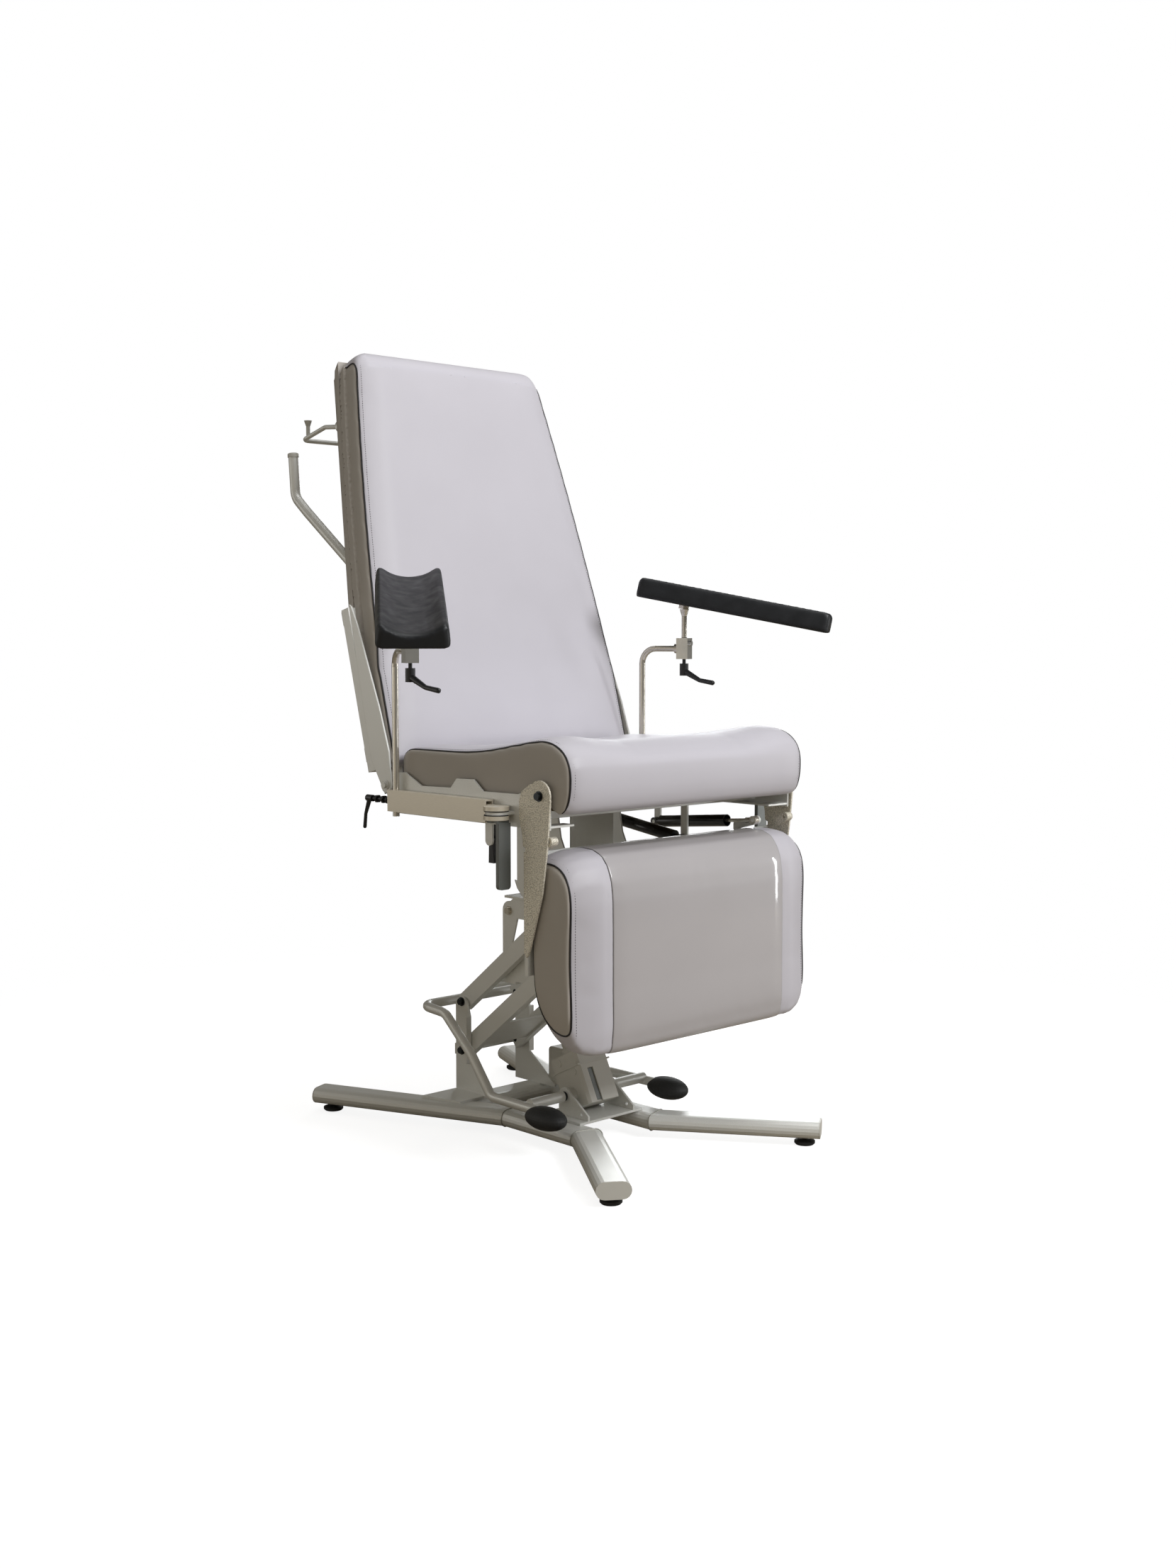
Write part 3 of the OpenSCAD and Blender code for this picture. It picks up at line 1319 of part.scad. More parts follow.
module arm_bar() {
    color("#b3aa9a") difference() {
        union() {
            difference() {
                translate([post_x - bar_w / 2, bar_front_y, bar_z])
                    cube([bar_w, bar_rear_y - bar_front_y, bar_h]);
                translate([post_x - bar_w / 2 + bar_wall, bar_front_y - over, bar_z + bar_wall])
                    cube([bar_w - 2 * bar_wall, post_y - bar_front_y - 3 * post_r + over,
                        bar_h - 2 * bar_wall]);
            }
            for (z = [tongue_z - washer_h - disc_t, tongue_z + tongue_t + washer_h]) {
                translate([swing_x, swing_y, z]) cylinder(h = disc_t, r = swing_r);
                translate([post_x - fork_w / 2, swing_y + swing_pin_r * 2, z])
                    cube([fork_w, bar_front_y - swing_y, disc_t]);
            }
        }
        translate([swing_x, swing_y, tongue_z - disc_t * 2]) cylinder(h = disc_t * 4,
            r = swing_pin_r + run_gap);
        translate([post_x, post_y, bar_z - over]) cylinder(h = bar_h + 2 * over, r = post_r + post_gap);
        // Thread of the post's clamp lever
        translate([post_x, post_y, bar_z + bar_h / 2]) rotate([-90, 0, 0])
            cylinder(h = bar_rear_y, r = lever_screw_r + run_gap);
    }
}

post_foot = 10;
post_bend = 34;
block_x = post_x + block_run_x;
block_y = post_y - block_run_y;
block_way = unit([block_run_x, -block_run_y, 0]);
collar_r = 11;
collar_t = 8;

module arm_post() {
    straight = post_top_z - post_bend - bar_z;
    run_end = [block_x, block_y, post_top_z] - block_way * (block_s / 2 + hair);
    color(steel) {
        translate([post_x, post_y, bar_z - post_foot]) cylinder(h = straight + post_foot, r = post_r);
        bent_tube([[post_x, post_y, bar_z + straight - post_foot], [post_x, post_y, post_top_z],
            run_end - block_way * collar_t / 2], post_r - 2 * hair, post_bend);
        rod(run_end - block_way * collar_t, run_end, collar_r);
    }
}

ball_z = post_top_z + block_h / 2 - 4;
ball_r = 8;
knob_r = 6;
knob_t = 5;

module clamp_block() {
    turn = atan2(block_way.y, block_way.x);
    color(steel) difference() {
        union() {
            translate([block_x, block_y, post_top_z]) rotate(turn)
                translate([-block_s / 2, -block_s / 2, -block_h / 2]) cube([block_s, block_s, block_h]);
            // Small knob on the block's face
            rod([block_x, block_y, post_top_z + block_h / 4],
                [block_x, block_y, post_top_z + block_h / 4] + block_way * (block_s / 2 + knob_t), knob_r);
        }
        translate([block_x, block_y, ball_z]) sphere(ball_r + gas_eye_gap);
        translate([block_x, block_y, ball_z]) cylinder(h = block_h, r1 = ball_r * 0.7, r2 = ball_r * 1.9);
        translate([block_x, block_y, post_top_z - block_h])
            cylinder(h = block_h, r = lever_screw_r + run_gap);
    }
}

lever_screw_r = 4;
lever_hub_r = 10;
lever_hub_h = 28;
lever_reach = 88;
lever_drop = 26;
lever_gap = 10;

// A clamp lever: z up its screw, the arm points along -y and down
module lever_shape(screw_in) {
    color(dark) {
        translate([0, 0, -lever_hub_h]) cylinder(h = lever_hub_h, r = lever_hub_r);
        hull() {
            translate([0, 0, -lever_hub_h * 0.6]) sphere(lever_hub_r * 0.75, $fn = 16);
            translate([0, -lever_reach * 0.55, -lever_hub_h * 0.6 - lever_drop * 0.8])
                sphere(lever_hub_r * 0.5, $fn = 16);
        }
        hull() {
            translate([0, -lever_reach * 0.55, -lever_hub_h * 0.6 - lever_drop * 0.8])
                sphere(lever_hub_r * 0.5, $fn = 16);
            translate([0, -lever_reach, -lever_hub_h * 0.6 - lever_drop])
                sphere(lever_hub_r * 0.55, $fn = 16);
        }
        cylinder(h = lever_gap + screw_in, r = lever_screw_r);
    }
}

module clamp_lever() {
    translate([block_x, block_y, post_top_z - block_h / 2 - lever_gap]) lever_shape(block_h / 4);
}

post_screw_gap = 62;
post_lever_scale = 0.7;

module post_lever() {
    translate([post_x, bar_rear_y + post_screw_gap, bar_z + bar_h / 2]) rotate([90, 0, 0]) {
        scale(post_lever_scale) lever_shape(0);
        color(steel) {
            cylinder(h = post_screw_gap + bar_rear_y - post_y - post_r - 1, r = lever_screw_r);
            for (z = [0.2, 0.55, 0.8]) translate([0, 0, z * post_screw_gap])
                cylinder(h = bolt_head_t, r = bolt_head_r * 0.85, $fn = 6);
        }
    }
}

stem_r = 6;
stem_hex_r = 13;
stem_hex_t = 8;
gutter_bottom = post_top_z + 98;

// Places the children at the stem's head
module on_gutter(turn, tilt) {
    translate([block_x, block_y, gutter_bottom]) rotate(turn) rotate([tilt, 0, 0]) children();
}

module ball_stem(turn, tilt) {
    foot = [block_x, block_y, ball_z];
    head = [block_x, block_y, gutter_bottom];
    color(steel) {
        translate(foot) sphere(ball_r);
        rod(foot, head - [0, 0, 3 * stem_hex_t], stem_r);
        translate(head - [0, 0, 3 * stem_hex_t]) cylinder(h = 2 * stem_hex_t, r1 = stem_r,
            r2 = stem_hex_r * 0.8);
        on_gutter(turn, tilt) translate([0, 0, -stem_hex_t - face_gap]) {
            cylinder(h = stem_hex_t, r = stem_hex_r, $fn = 6);
            cylinder(h = stem_hex_t * 2, r = stem_r);
        }
    }
}

// Gutter section, in shares of its half width and height
gutter_shares = [[-1.06, 0.1], [-1.04, 0.45], [-1.01, 0.8], [-0.98, 0.94], [-0.93, 1], [-0.87, 0.99],
    [-0.8, 0.93], [-0.62, 0.76], [-0.42, 0.64], [-0.2, 0.575], [0, 0.555], [0.2, 0.575], [0.42, 0.64],
    [0.62, 0.76], [0.8, 0.93],
    [0.87, 0.99], [0.93, 1], [0.98, 0.94], [1.01, 0.8], [1.04, 0.45], [1.06, 0.1], [1.02, 0.02], [0.9, 0],
    [0.45, 0], [-0.45, 0], [-0.9, 0], [-1.02, 0.02]];
gutter_y_shares = [0, 0.012, 0.035, 0.08, 0.35, 0.65, 0.92, 0.965, 0.988, 1];
gutter_round = 12;

function gutter_ring(share) = let (
        near = min(share, 1 - share) * gutter_len,
        pull = round_in(near, gutter_round))
    [for (p = gutter_shares) let (
            floor_share = 1 - gutter_dish / gutter_h,
            dip = p.y >= 0.555 && abs(p.x) < 0.9 ? lerp(floor_share, 1, (p.y - 0.555) / 0.445) : p.y)
        [p.x * (gutter_w / 2 - pull * 0.6), (gutter_rear_share + share - 1) * gutter_len,
            max(dip * gutter_h - pull * 0.8 * p.y, 0)]];

module gutter(turn, tilt) {
    color(dark) on_gutter(turn, tilt) difference() {
        skin([for (s = gutter_y_shares) gutter_ring(s)]);
        translate([0, 0, -over]) cylinder(h = stem_hex_t + over + face_gap,
            r = stem_r + gas_eye_gap);
    }
}

swing_handle_w = 30;
swing_handle_t = 9;
swing_handle_fore = 20;
swing_handle_h = 128;
swing_head_t = 5;

module swing_handle() {
    z = tongue_z - washer_h - disc_t - face_gap;
    color("#6f7471") {
        translate([swing_x, swing_y, z - swing_head_t]) cylinder(h = swing_head_t, r = swing_handle_w * 0.6);
        translate([swing_x - swing_handle_w / 2, swing_y - swing_handle_fore, z - swing_head_t])
            cube([swing_handle_w, swing_handle_fore, swing_head_t]);
        translate([swing_x, swing_y - swing_handle_fore + swing_handle_t / 2, z - swing_head_t])
            rotate([90, 0, 0]) linear_extrude(swing_handle_t) {
                translate([-swing_handle_w / 2, swing_handle_w / 4 - swing_handle_h])
                    square([swing_handle_w, swing_handle_h - swing_handle_w / 4]);
                for (s = [-1, 1]) translate([s * swing_handle_w / 4, swing_handle_w / 4 - swing_handle_h])
                    circle(swing_handle_w / 4);
                translate([-swing_handle_w / 4, -swing_handle_h])
                    square([swing_handle_w / 2, swing_handle_w / 4]);
            }
    }
}

module arm_bar_right() { on_side(-1) arm_bar(); }
module arm_bar_left() { on_side(1) arm_bar(); }
module arm_post_right() { on_side(-1) arm_post(); }
module arm_post_left() { on_side(1) arm_post(); }
module clamp_block_right() { on_side(-1) clamp_block(); }
module clamp_block_left() { on_side(1) clamp_block(); }
module clamp_lever_right() { on_side(-1) clamp_lever(); }
module clamp_lever_left() { on_side(1) clamp_lever(); }
module ball_stem_right() { on_side(-1) ball_stem(right_gutter_turn, right_gutter_tilt); }
module ball_stem_left() { on_side(1) ball_stem(gutter_turn, gutter_tilt); }
module gutter_right() { on_side(-1) gutter(right_gutter_turn, right_gutter_tilt); }
module gutter_left() { on_side(1) gutter(gutter_turn, gutter_tilt); }
module post_lever_right() { on_side(-1) post_lever(); }
module post_lever_left() { on_side(1) post_lever(); }
module swing_handle_right() { on_side(-1) swing_handle(); }
module swing_handle_left() { on_side(1) swing_handle(); }

// Foot bar: a loop behind the posts

pedal_run_z = drive_z - 7;
pedal_front_y = drive_y - 34;
pedal_side = [[pedal_x + 4, pedal_front_y, pedal_run_z], [pedal_x, pedal_loop_y - 238, pedal_run_z],
    [pedal_x, pedal_loop_y - 172, pedal_loop_z - 80], [pedal_x, pedal_loop_y - 84, pedal_loop_z - 4],
    [pedal_x - 4, pedal_loop_y, pedal_loop_z]];
pedal_path = concat(pedal_side, [for (i = [4:-1:0]) [-pedal_side[i].x, pedal_side[i].y, pedal_side[i].z]]);
pedal_bend = 30;
stub_in = bracket_ear_x + base_plate_t + bolt_head_t + 1;

module foot_bar() {
    color(silver) difference() {
        union() {
            bent_tube(pedal_path, pedal_r, pedal_bend);
            both_sides() x_bar(drive_y, drive_z, pedal_r + 1, stub_in, pedal_x);
        }
        both_sides() x_bar(drive_y, drive_z, pin_r + run_gap, stub_in - over, pedal_pin_out + face_gap);
    }
}

pad_w = 66;
pad_h = 48;
pad_out = 12;
pad_drop = 8;

module foot_pads() {
    color(dark) both_sides() difference() {
        translate([pedal_x + pad_out, pedal_front_y - pad_len * 0.27, pedal_run_z - pad_drop])
            resize([pad_w, pad_len, pad_h]) sphere(pad_len / 2, $fn = 32);
        rod(pedal_side[1], pedal_side[0], pedal_r);
    }
}

floor_rails();
rail_end_caps();
levelling_feet();
rear_cross_tube();
lift_posts();
post_tie_plate();
drive_bracket();
control_box();
base_pivot_pins();
lower_arms();
upper_arms();
drive_housing();
drive_outer_tube();
drive_push_rod();
lift_carriage();
carriage_pins();
seat_neck();
seat_side_plates();
seat_cross_tubes();
seat_board();
board_plugs();
seat_cushion();
leg_hinge_pins();
swing_tongues();
friction_washers();
gas_release_lever();
leg_side_plates();
leg_board();
leg_cushion();
leg_clear_cover();
back_side_plates();
back_frame();
back_board();
back_cushion();
push_handles();
push_handle_caps();
roll_holder();
roll_holder_pegs();
leg_gas_cylinder();
leg_gas_rod();
back_gas_cylinder();
back_gas_rod();
arm_bar_right();
arm_bar_left();
arm_post_right();
arm_post_left();
clamp_block_right();
clamp_block_left();
clamp_lever_right();
clamp_lever_left();
ball_stem_right();
ball_stem_left();
gutter_right();
gutter_left();
post_lever_right();
post_lever_left();
swing_handle_right();
swing_handle_left();
foot_bar();
foot_pads();
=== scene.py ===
# %% [markdown]
# # A blood-draw chair
# The chair's steel parts come ready made from the CAD model. This script gives every one of them its
# paint or metal, darkens the pivot bolts, sews the three cushions, and adds the weld beads and a dark
# bar of painted shade on the lift drive.
# All sizes are in metres, the floor is at zero height, and the sitter looks along minus Y.

import json
import math

import bpy
from mathutils import Matrix, Vector

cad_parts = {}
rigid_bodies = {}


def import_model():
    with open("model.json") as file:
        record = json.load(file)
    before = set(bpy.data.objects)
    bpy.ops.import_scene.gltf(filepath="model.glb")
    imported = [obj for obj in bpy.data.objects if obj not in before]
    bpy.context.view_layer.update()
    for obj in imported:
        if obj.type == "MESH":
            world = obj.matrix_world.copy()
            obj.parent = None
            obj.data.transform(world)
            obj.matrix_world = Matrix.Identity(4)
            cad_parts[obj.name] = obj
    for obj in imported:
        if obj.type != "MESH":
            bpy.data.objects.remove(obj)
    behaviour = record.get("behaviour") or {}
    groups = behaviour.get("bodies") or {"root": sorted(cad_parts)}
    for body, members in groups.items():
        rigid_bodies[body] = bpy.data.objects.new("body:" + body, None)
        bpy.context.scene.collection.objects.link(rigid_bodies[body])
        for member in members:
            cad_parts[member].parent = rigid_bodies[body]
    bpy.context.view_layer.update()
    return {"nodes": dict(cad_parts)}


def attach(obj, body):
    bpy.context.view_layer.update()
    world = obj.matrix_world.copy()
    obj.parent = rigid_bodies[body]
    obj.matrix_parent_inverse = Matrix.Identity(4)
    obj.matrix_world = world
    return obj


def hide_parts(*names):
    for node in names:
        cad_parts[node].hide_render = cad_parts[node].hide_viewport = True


scene = bpy.context.scene
for thing in list(bpy.data.objects):
    bpy.data.objects.remove(thing)
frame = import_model()
NODES = frame["nodes"]

# %% [markdown]
# ## Small tools for working on a mesh
# Blender's own operators do the modelling. These helpers make one object active, add a modifier and
# apply it, or pick vertices and faces by where they are.


# %% Tools
def only(obj):
    """Makes obj the one selected and active object."""
    if bpy.context.object and bpy.context.object.mode != "OBJECT":
        bpy.ops.object.mode_set(mode="OBJECT")
    bpy.ops.object.select_all(action="DESELECT")
    obj.select_set(True)
    bpy.context.view_layer.objects.active = obj
    return obj


def applied(obj, kind, **settings):
    """Adds a modifier with these settings and applies it."""
    only(obj)
    modifier = obj.modifiers.new(kind.title(), kind)
    for key, value in settings.items():
        setattr(modifier, key, value)
    bpy.ops.object.modifier_apply(modifier=modifier.name)
    return obj


def pick(obj, test, mode="VERT"):
    """Enters edit mode with only the vertices or faces selected whose place passes the test."""
    only(obj)
    bpy.ops.object.mode_set(mode="EDIT")
    bpy.ops.mesh.select_mode(type=mode)
    bpy.ops.mesh.select_all(action="DESELECT")
    bpy.ops.object.mode_set(mode="OBJECT")
    parts = obj.data.vertices if mode == "VERT" else obj.data.polygons
    found = 0
    for part in parts:
        part.select = bool(test(part.co if mode == "VERT" else part.center))
        found += part.select
    bpy.ops.object.mode_set(mode="EDIT")
    return found


def done(obj):
    """Back to object mode, with the object's place moved into its mesh."""
    only(obj)
    bpy.ops.object.transform_apply(location=True, rotation=True, scale=True)
    return obj


def copy_of(node, name):
    """A new object with a copy of a CAD node's mesh, its double vertices merged."""
    obj = bpy.data.objects.new(name, NODES[node].data.copy())
    scene.collection.objects.link(obj)
    obj.data.materials.clear()
    only(obj)
    bpy.ops.object.mode_set(mode="EDIT")
    bpy.ops.mesh.select_all(action="SELECT")
    bpy.ops.mesh.remove_doubles(threshold=1e-5)
    bpy.ops.object.mode_set(mode="OBJECT")
    return obj


def smooth(obj, angle=35):
    """Smooth shading, with edges sharper than the angle kept crisp."""
    only(obj)
    bpy.ops.object.shade_smooth_by_angle(angle=math.radians(angle))
    return obj


def finish_piece(obj, body, material):
    """Gives a finished piece its material and the CAD body it moves with."""
    done(obj)
    if not obj.data.materials:
        obj.data.materials.append(material)
    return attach(obj, body)


def colour(code):
    """A web colour as the linear values that shaders use."""
    parts = [int(code[i : i + 2], 16) / 255 for i in (1, 3, 5)]
    return tuple(c / 12.92 if c <= 0.04045 else ((c + 0.055) / 1.055) ** 2.4 for c in parts)


# %% [markdown]
# ## Writing materials as formulas
# A material is a small network of nodes. `Sock` wraps one output, so that two of them can be added
# or multiplied like numbers, and `Paint` makes the nodes and links them.


# %% Node helpers
class Sock:
    """One output of a node, usable in sums and products."""

    def __init__(self, paint, socket):
        self.paint, self.socket = paint, socket

    def _math(self, operation, a, b):
        return self.paint.node("ShaderNodeMath", {"operation": operation}, {0: a, 1: b})

    def __add__(self, other):
        return self._math("ADD", self, other)

    def __radd__(self, other):
        return self._math("ADD", other, self)

    def __sub__(self, other):
        return self._math("SUBTRACT", self, other)

    def __rsub__(self, other):
        return self._math("SUBTRACT", other, self)

    def __mul__(self, other):
        return self._math("MULTIPLY", self, other)

    def __rmul__(self, other):
        return self._math("MULTIPLY", other, self)

    def __truediv__(self, other):
        return self._math("DIVIDE", self, other)

    def __rtruediv__(self, other):
        return self._math("DIVIDE", other, self)


class Paint:
    """A material whose nodes are made by node() and fed by feed()."""

    def __init__(self, name, base, rough, **constants):
        self.material = bpy.data.materials.new(name)
        self.material.use_nodes = True
        self.tree = self.material.node_tree
        self.shader = self.tree.nodes["Principled BSDF"]
        self.base, self.rough = base, rough
        self.feed(self.shader.inputs["Base Color"], (*base, 1))
        self.feed(self.shader.inputs["Roughness"], rough)
        for key, value in constants.items():
            self.feed(self.shader.inputs[key.replace("_", " ")], value)
        self.place = self.node("ShaderNodeTexCoord", out="Object")

    def node(self, kind, settings=None, values=None, out=0):
        made = self.tree.nodes.new(kind)
        for key, value in (settings or {}).items():
            setattr(made, key, value)
        for key, value in (values or {}).items():
            self.feed(made.inputs[key], value)
        return Sock(self, made.outputs[out])

    def feed(self, socket, value):
        if isinstance(value, Sock):
            self.tree.links.new(value.socket, socket)
        else:
            socket.default_value = value

    def set(self, name, value):
        self.feed(self.shader.inputs[name], value)
        return self

    def noise(self, scale, detail=2.0):
        return self.node("ShaderNodeTexNoise", {},
                         {"Vector": self.place, "Scale": scale, "Detail": detail})

    def stretched(self, scale, across):
        """Noise drawn out along one axis, as brushing leaves it."""
        long = self.node("ShaderNodeVectorMath", {"operation": "MULTIPLY"}, {0: self.place, 1: across})
        return self.node("ShaderNodeTexNoise", {}, {"Vector": long, "Scale": scale, "Detail": 3.0})

    def cells(self, scale, feature="F1"):
        return self.node("ShaderNodeTexVoronoi", {"feature": feature},
                         {"Vector": self.place, "Scale": scale})

    def ranged(self, value, low, high, to_low=0.0, to_high=1.0):
        values = {"Value": value, "From Min": low, "From Max": high, "To Min": to_low, "To Max": to_high}
        return self.node("ShaderNodeMapRange", {}, values)

    def tint(self, factor, a, b):
        """Base colour between two colours."""
        mixed = self.node("ShaderNodeMix", {"data_type": "RGBA"},
                          {0: factor, 6: (*a, 1), 7: (*b, 1)}, out=2)
        return self.set("Base Color", mixed)

    def bump(self, height, strength, distance, normal=None):
        """Relief from a height, on top of another normal if one is given."""
        values = {"Strength": strength, "Distance": distance, "Height": height}
        if normal:
            values["Normal"] = normal
        return self.set("Normal", self.node("ShaderNodeBump", {}, values))


def shade(rgb, k):
    return tuple(min(1.0, c * k) for c in rgb)


# %% [markdown]
# ## Upholstery vinyl
# The cover is coated fabric. It has a very fine pore pattern, a soft sheen, and a tone that drifts a
# little from place to place. The clear sheet on the leg rest is a gloss coat over a darker copy of the
# vinyl, which costs far less light than a see-through solid and looks the same where the two touch. Its
# darker tone is partly the grey of the sheet and partly painted shade on the front of the leg rest.


# %% Vinyl and thread
def vinyl(name, code, rough, pore=0.10, **more):
    base = colour(code)
    p = Paint(name, base, rough, Specular_IOR_Level=0.35, Sheen_Weight=0.05, Sheen_Roughness=0.5, **more)
    drift = p.noise(7.0)
    pores = p.cells(620.0, "DISTANCE_TO_EDGE")
    soft = p.noise(16.0, 3.0)
    p.tint(drift, shade(base, 0.965), shade(base, 1.03))
    p.set("Roughness", rough + (drift - 0.5) * 0.10)
    p.bump(p.ranged(pores, 0.0, 0.25) * 0.25 + soft * 1.2, pore, 0.0012)
    return p.material


VINYL = vinyl("vinyl_light", "#bfbcc3", 0.45)
# The side panels are the same vinyl drawn darker and warmer, a painted shade on the cushion ends.
SHADED_SIDE_VINYL = vinyl("vinyl_side_painted_shade", "#b3ada6", 0.5)
PIPING = vinyl("piping_black", "#1d1b1c", 0.45, 0.05)
THREAD = vinyl("thread_dark", "#4a4548", 0.7, 0.05)
# The sheet's vinyl is drawn darker than the panel below it: partly the grey of the sheet, partly painted
# shade.
FILM = vinyl("clear_sheet_visual", "#aeaaac", 0.4, 0.03, Coat_Weight=1.0, Coat_Roughness=0.07)
print("vinyl, piping, thread and film made")

# %% [markdown]
# ## Painted, plated and brushed metal
# The frame has a silver powder coat with a fine sandy texture. The seat's side plates and the leg
# brackets have a hammer finish, which sparkles. Pins and blocks are zinc or chrome plated.


# %% Metals
def powder_coat(name, code, rough=0.38, metal=0.35, sparkle=0.07):
    base = colour(code)
    p = Paint(name, base, rough, Metallic=metal)
    edge = p.node("ShaderNodeBevel", {"samples": 4}, {"Radius": 0.0012})
    grit = p.noise(1500.0, 2.0)
    drift = p.noise(5.0)
    p.tint(p.ranged(grit, 0.35, 0.65), shade(base, 1 - sparkle), shade(base, 1 + sparkle))
    p.set("Roughness", rough + (drift - 0.5) * 0.12)
    p.bump(grit, 0.22, 0.0004, edge)
    return p.material


def hammer_coat(name, code):
    base = colour(code)
    p = Paint(name, base, 0.34, Metallic=0.28)
    edge = p.node("ShaderNodeBevel", {"samples": 4}, {"Radius": 0.0012})
    grains = p.cells(420.0)
    fine = p.noise(900.0, 3.0)
    bright = p.ranged(grains * 0.6 + fine * 0.7, 0.35, 0.85)
    p.tint(bright, shade(base, 1.15), shade(base, 0.55))
    p.set("Roughness", p.ranged(fine, 0.3, 0.7, 0.25, 0.5))
    p.bump(grains + fine * 0.6, 0.55, 0.0011, edge)
    return p.material


def brushed(name, code, rough, along=(1.0, 14.0, 14.0), metal=1.0):
    base = colour(code)
    p = Paint(name, base, rough, Metallic=metal)
    lines = p.stretched(90.0, along)
    p.tint(lines, shade(base, 0.9), shade(base, 1.08))
    p.set("Roughness", rough + (lines - 0.5) * 0.16)
    p.bump(lines, 0.10, 0.0003)
    return p.material


def plated(name, code, rough, metal=1.0):
    base = colour(code)
    p = Paint(name, base, rough, Metallic=metal)
    smear = p.noise(45.0, 3.0)
    p.set("Roughness", rough + (smear - 0.5) * 0.10)
    p.tint(smear, shade(base, 0.95), shade(base, 1.04))
    return p.material


def gloss_black(name, code, rough):
    base = colour(code)
    p = Paint(name, base, rough, Coat_Weight=0.25, Coat_Roughness=0.15)
    smear = p.noise(60.0, 3.0)
    p.set("Roughness", rough + (smear - 0.5) * 0.12)
    p.bump(p.noise(700.0), 0.05, 0.0003)
    return p.material


# %% Plastics, rubber and boards
def moulded(name, code, rough, grain=900.0, depth=0.14):
    base = colour(code)
    p = Paint(name, base, rough)
    sand = p.noise(grain, 2.0)
    drift = p.noise(9.0)
    p.tint(drift, shade(base, 0.97), shade(base, 1.03))
    p.set("Roughness", rough + (sand - 0.5) * 0.08)
    p.bump(sand, depth, 0.0004)
    return p.material


def foam_skin(name, code):
    """Moulded foam with its own skin: fine grain and faint wrinkles."""
    base = colour(code)
    p = Paint(name, base, 0.5, Specular_IOR_Level=0.4)
    wrinkles = p.noise(38.0, 4.0)
    grain = p.cells(800.0)
    p.tint(wrinkles, shade(base, 0.92), shade(base, 1.1))
    p.set("Roughness", p.ranged(wrinkles, 0.3, 0.7, 0.4, 0.58))
    p.bump(wrinkles * 0.5 + grain * 0.12, 0.07, 0.0015)
    return p.material


def plywood(name, code):
    base = colour(code)
    p = Paint(name, base, 0.6)
    rings = p.stretched(26.0, (1.0, 9.0, 9.0))
    p.tint(rings, shade(base, 0.75), shade(base, 1.2))
    p.bump(rings, 0.1, 0.0004)
    return p.material


FINISHES = {
    "frame_paint": powder_coat("frame_paint_visual", "#e0e0dc", 0.36, 0.22),
    "hammer_paint": hammer_coat("hammer_paint_visual", "#f0e9d8"),
    "upholstery": VINYL,
    "clear_cover": FILM,
    "board_wood": plywood("board_wood_visual", "#6d5d48"),
    # The board skin takes the side panels' darker, warmer tone, a painted shade.
    "board_skin": vinyl("board_skin_shaded_visual", "#b3ada6", 0.5),
    "grey_plastic": moulded("grey_plastic_visual", "#c9c7c0", 0.42),
    "black_plastic": moulded("black_plastic_visual", "#17181a", 0.36, 700.0, 0.08),
    "black_rubber": moulded("black_rubber_visual", "#1c1d1e", 0.62, 500.0, 0.25),
    "black_paint": gloss_black("black_paint_visual", "#121314", 0.25),
    "dark_grey_metal": powder_coat("dark_grey_metal_visual", "#6e716f", 0.4, 0.3, 0.05),
    "bright_steel": brushed("bright_steel_visual", "#dad5cb", 0.2, (14.0, 14.0, 1.0), 0.85),
    "block_chrome": plated("block_chrome_visual", "#d6d6d4", 0.16, 0.9),
    "bar_aluminium": brushed("bar_aluminium_visual", "#e0d8c8", 0.38, (14.0, 1.0, 14.0), 0.4),
}
GUTTER_SKIN = foam_skin("gutter_skin_visual", "#15171b")
WELD = plated("weld_visual", "#a6a49c", 0.42, 0.7)
DARK_BOLT = plated("dark_bolt_visual", "#35393b", 0.3, 0.8)

# %% [markdown]
# ## Dressing the CAD parts
# Each CAD part carries the name of its finish from the record. The same name picks the material here.

# %% Materials on the CAD nodes
for name, obj in NODES.items():
    slot = obj.data.materials[0].name.split(".")[0]
    obj.data.materials[0] = FINISHES[slot]
print("dressed", len(NODES), "nodes")

# %% [markdown]
# ## How a cushion is sewn
# A real cushion is a block of foam in a tight vinyl cover. Here a slightly shrunken copy of the CAD
# solid is remeshed into small even squares and inflated as cloth for twenty steps, so that its faces
# swell and its edges stay held. Then it is cut along the seams. The main panels get the light vinyl, and
# the side panels get a darker, warmer copy of it as painted shade. Each cut line becomes a piping cord
# or a row of stitches.


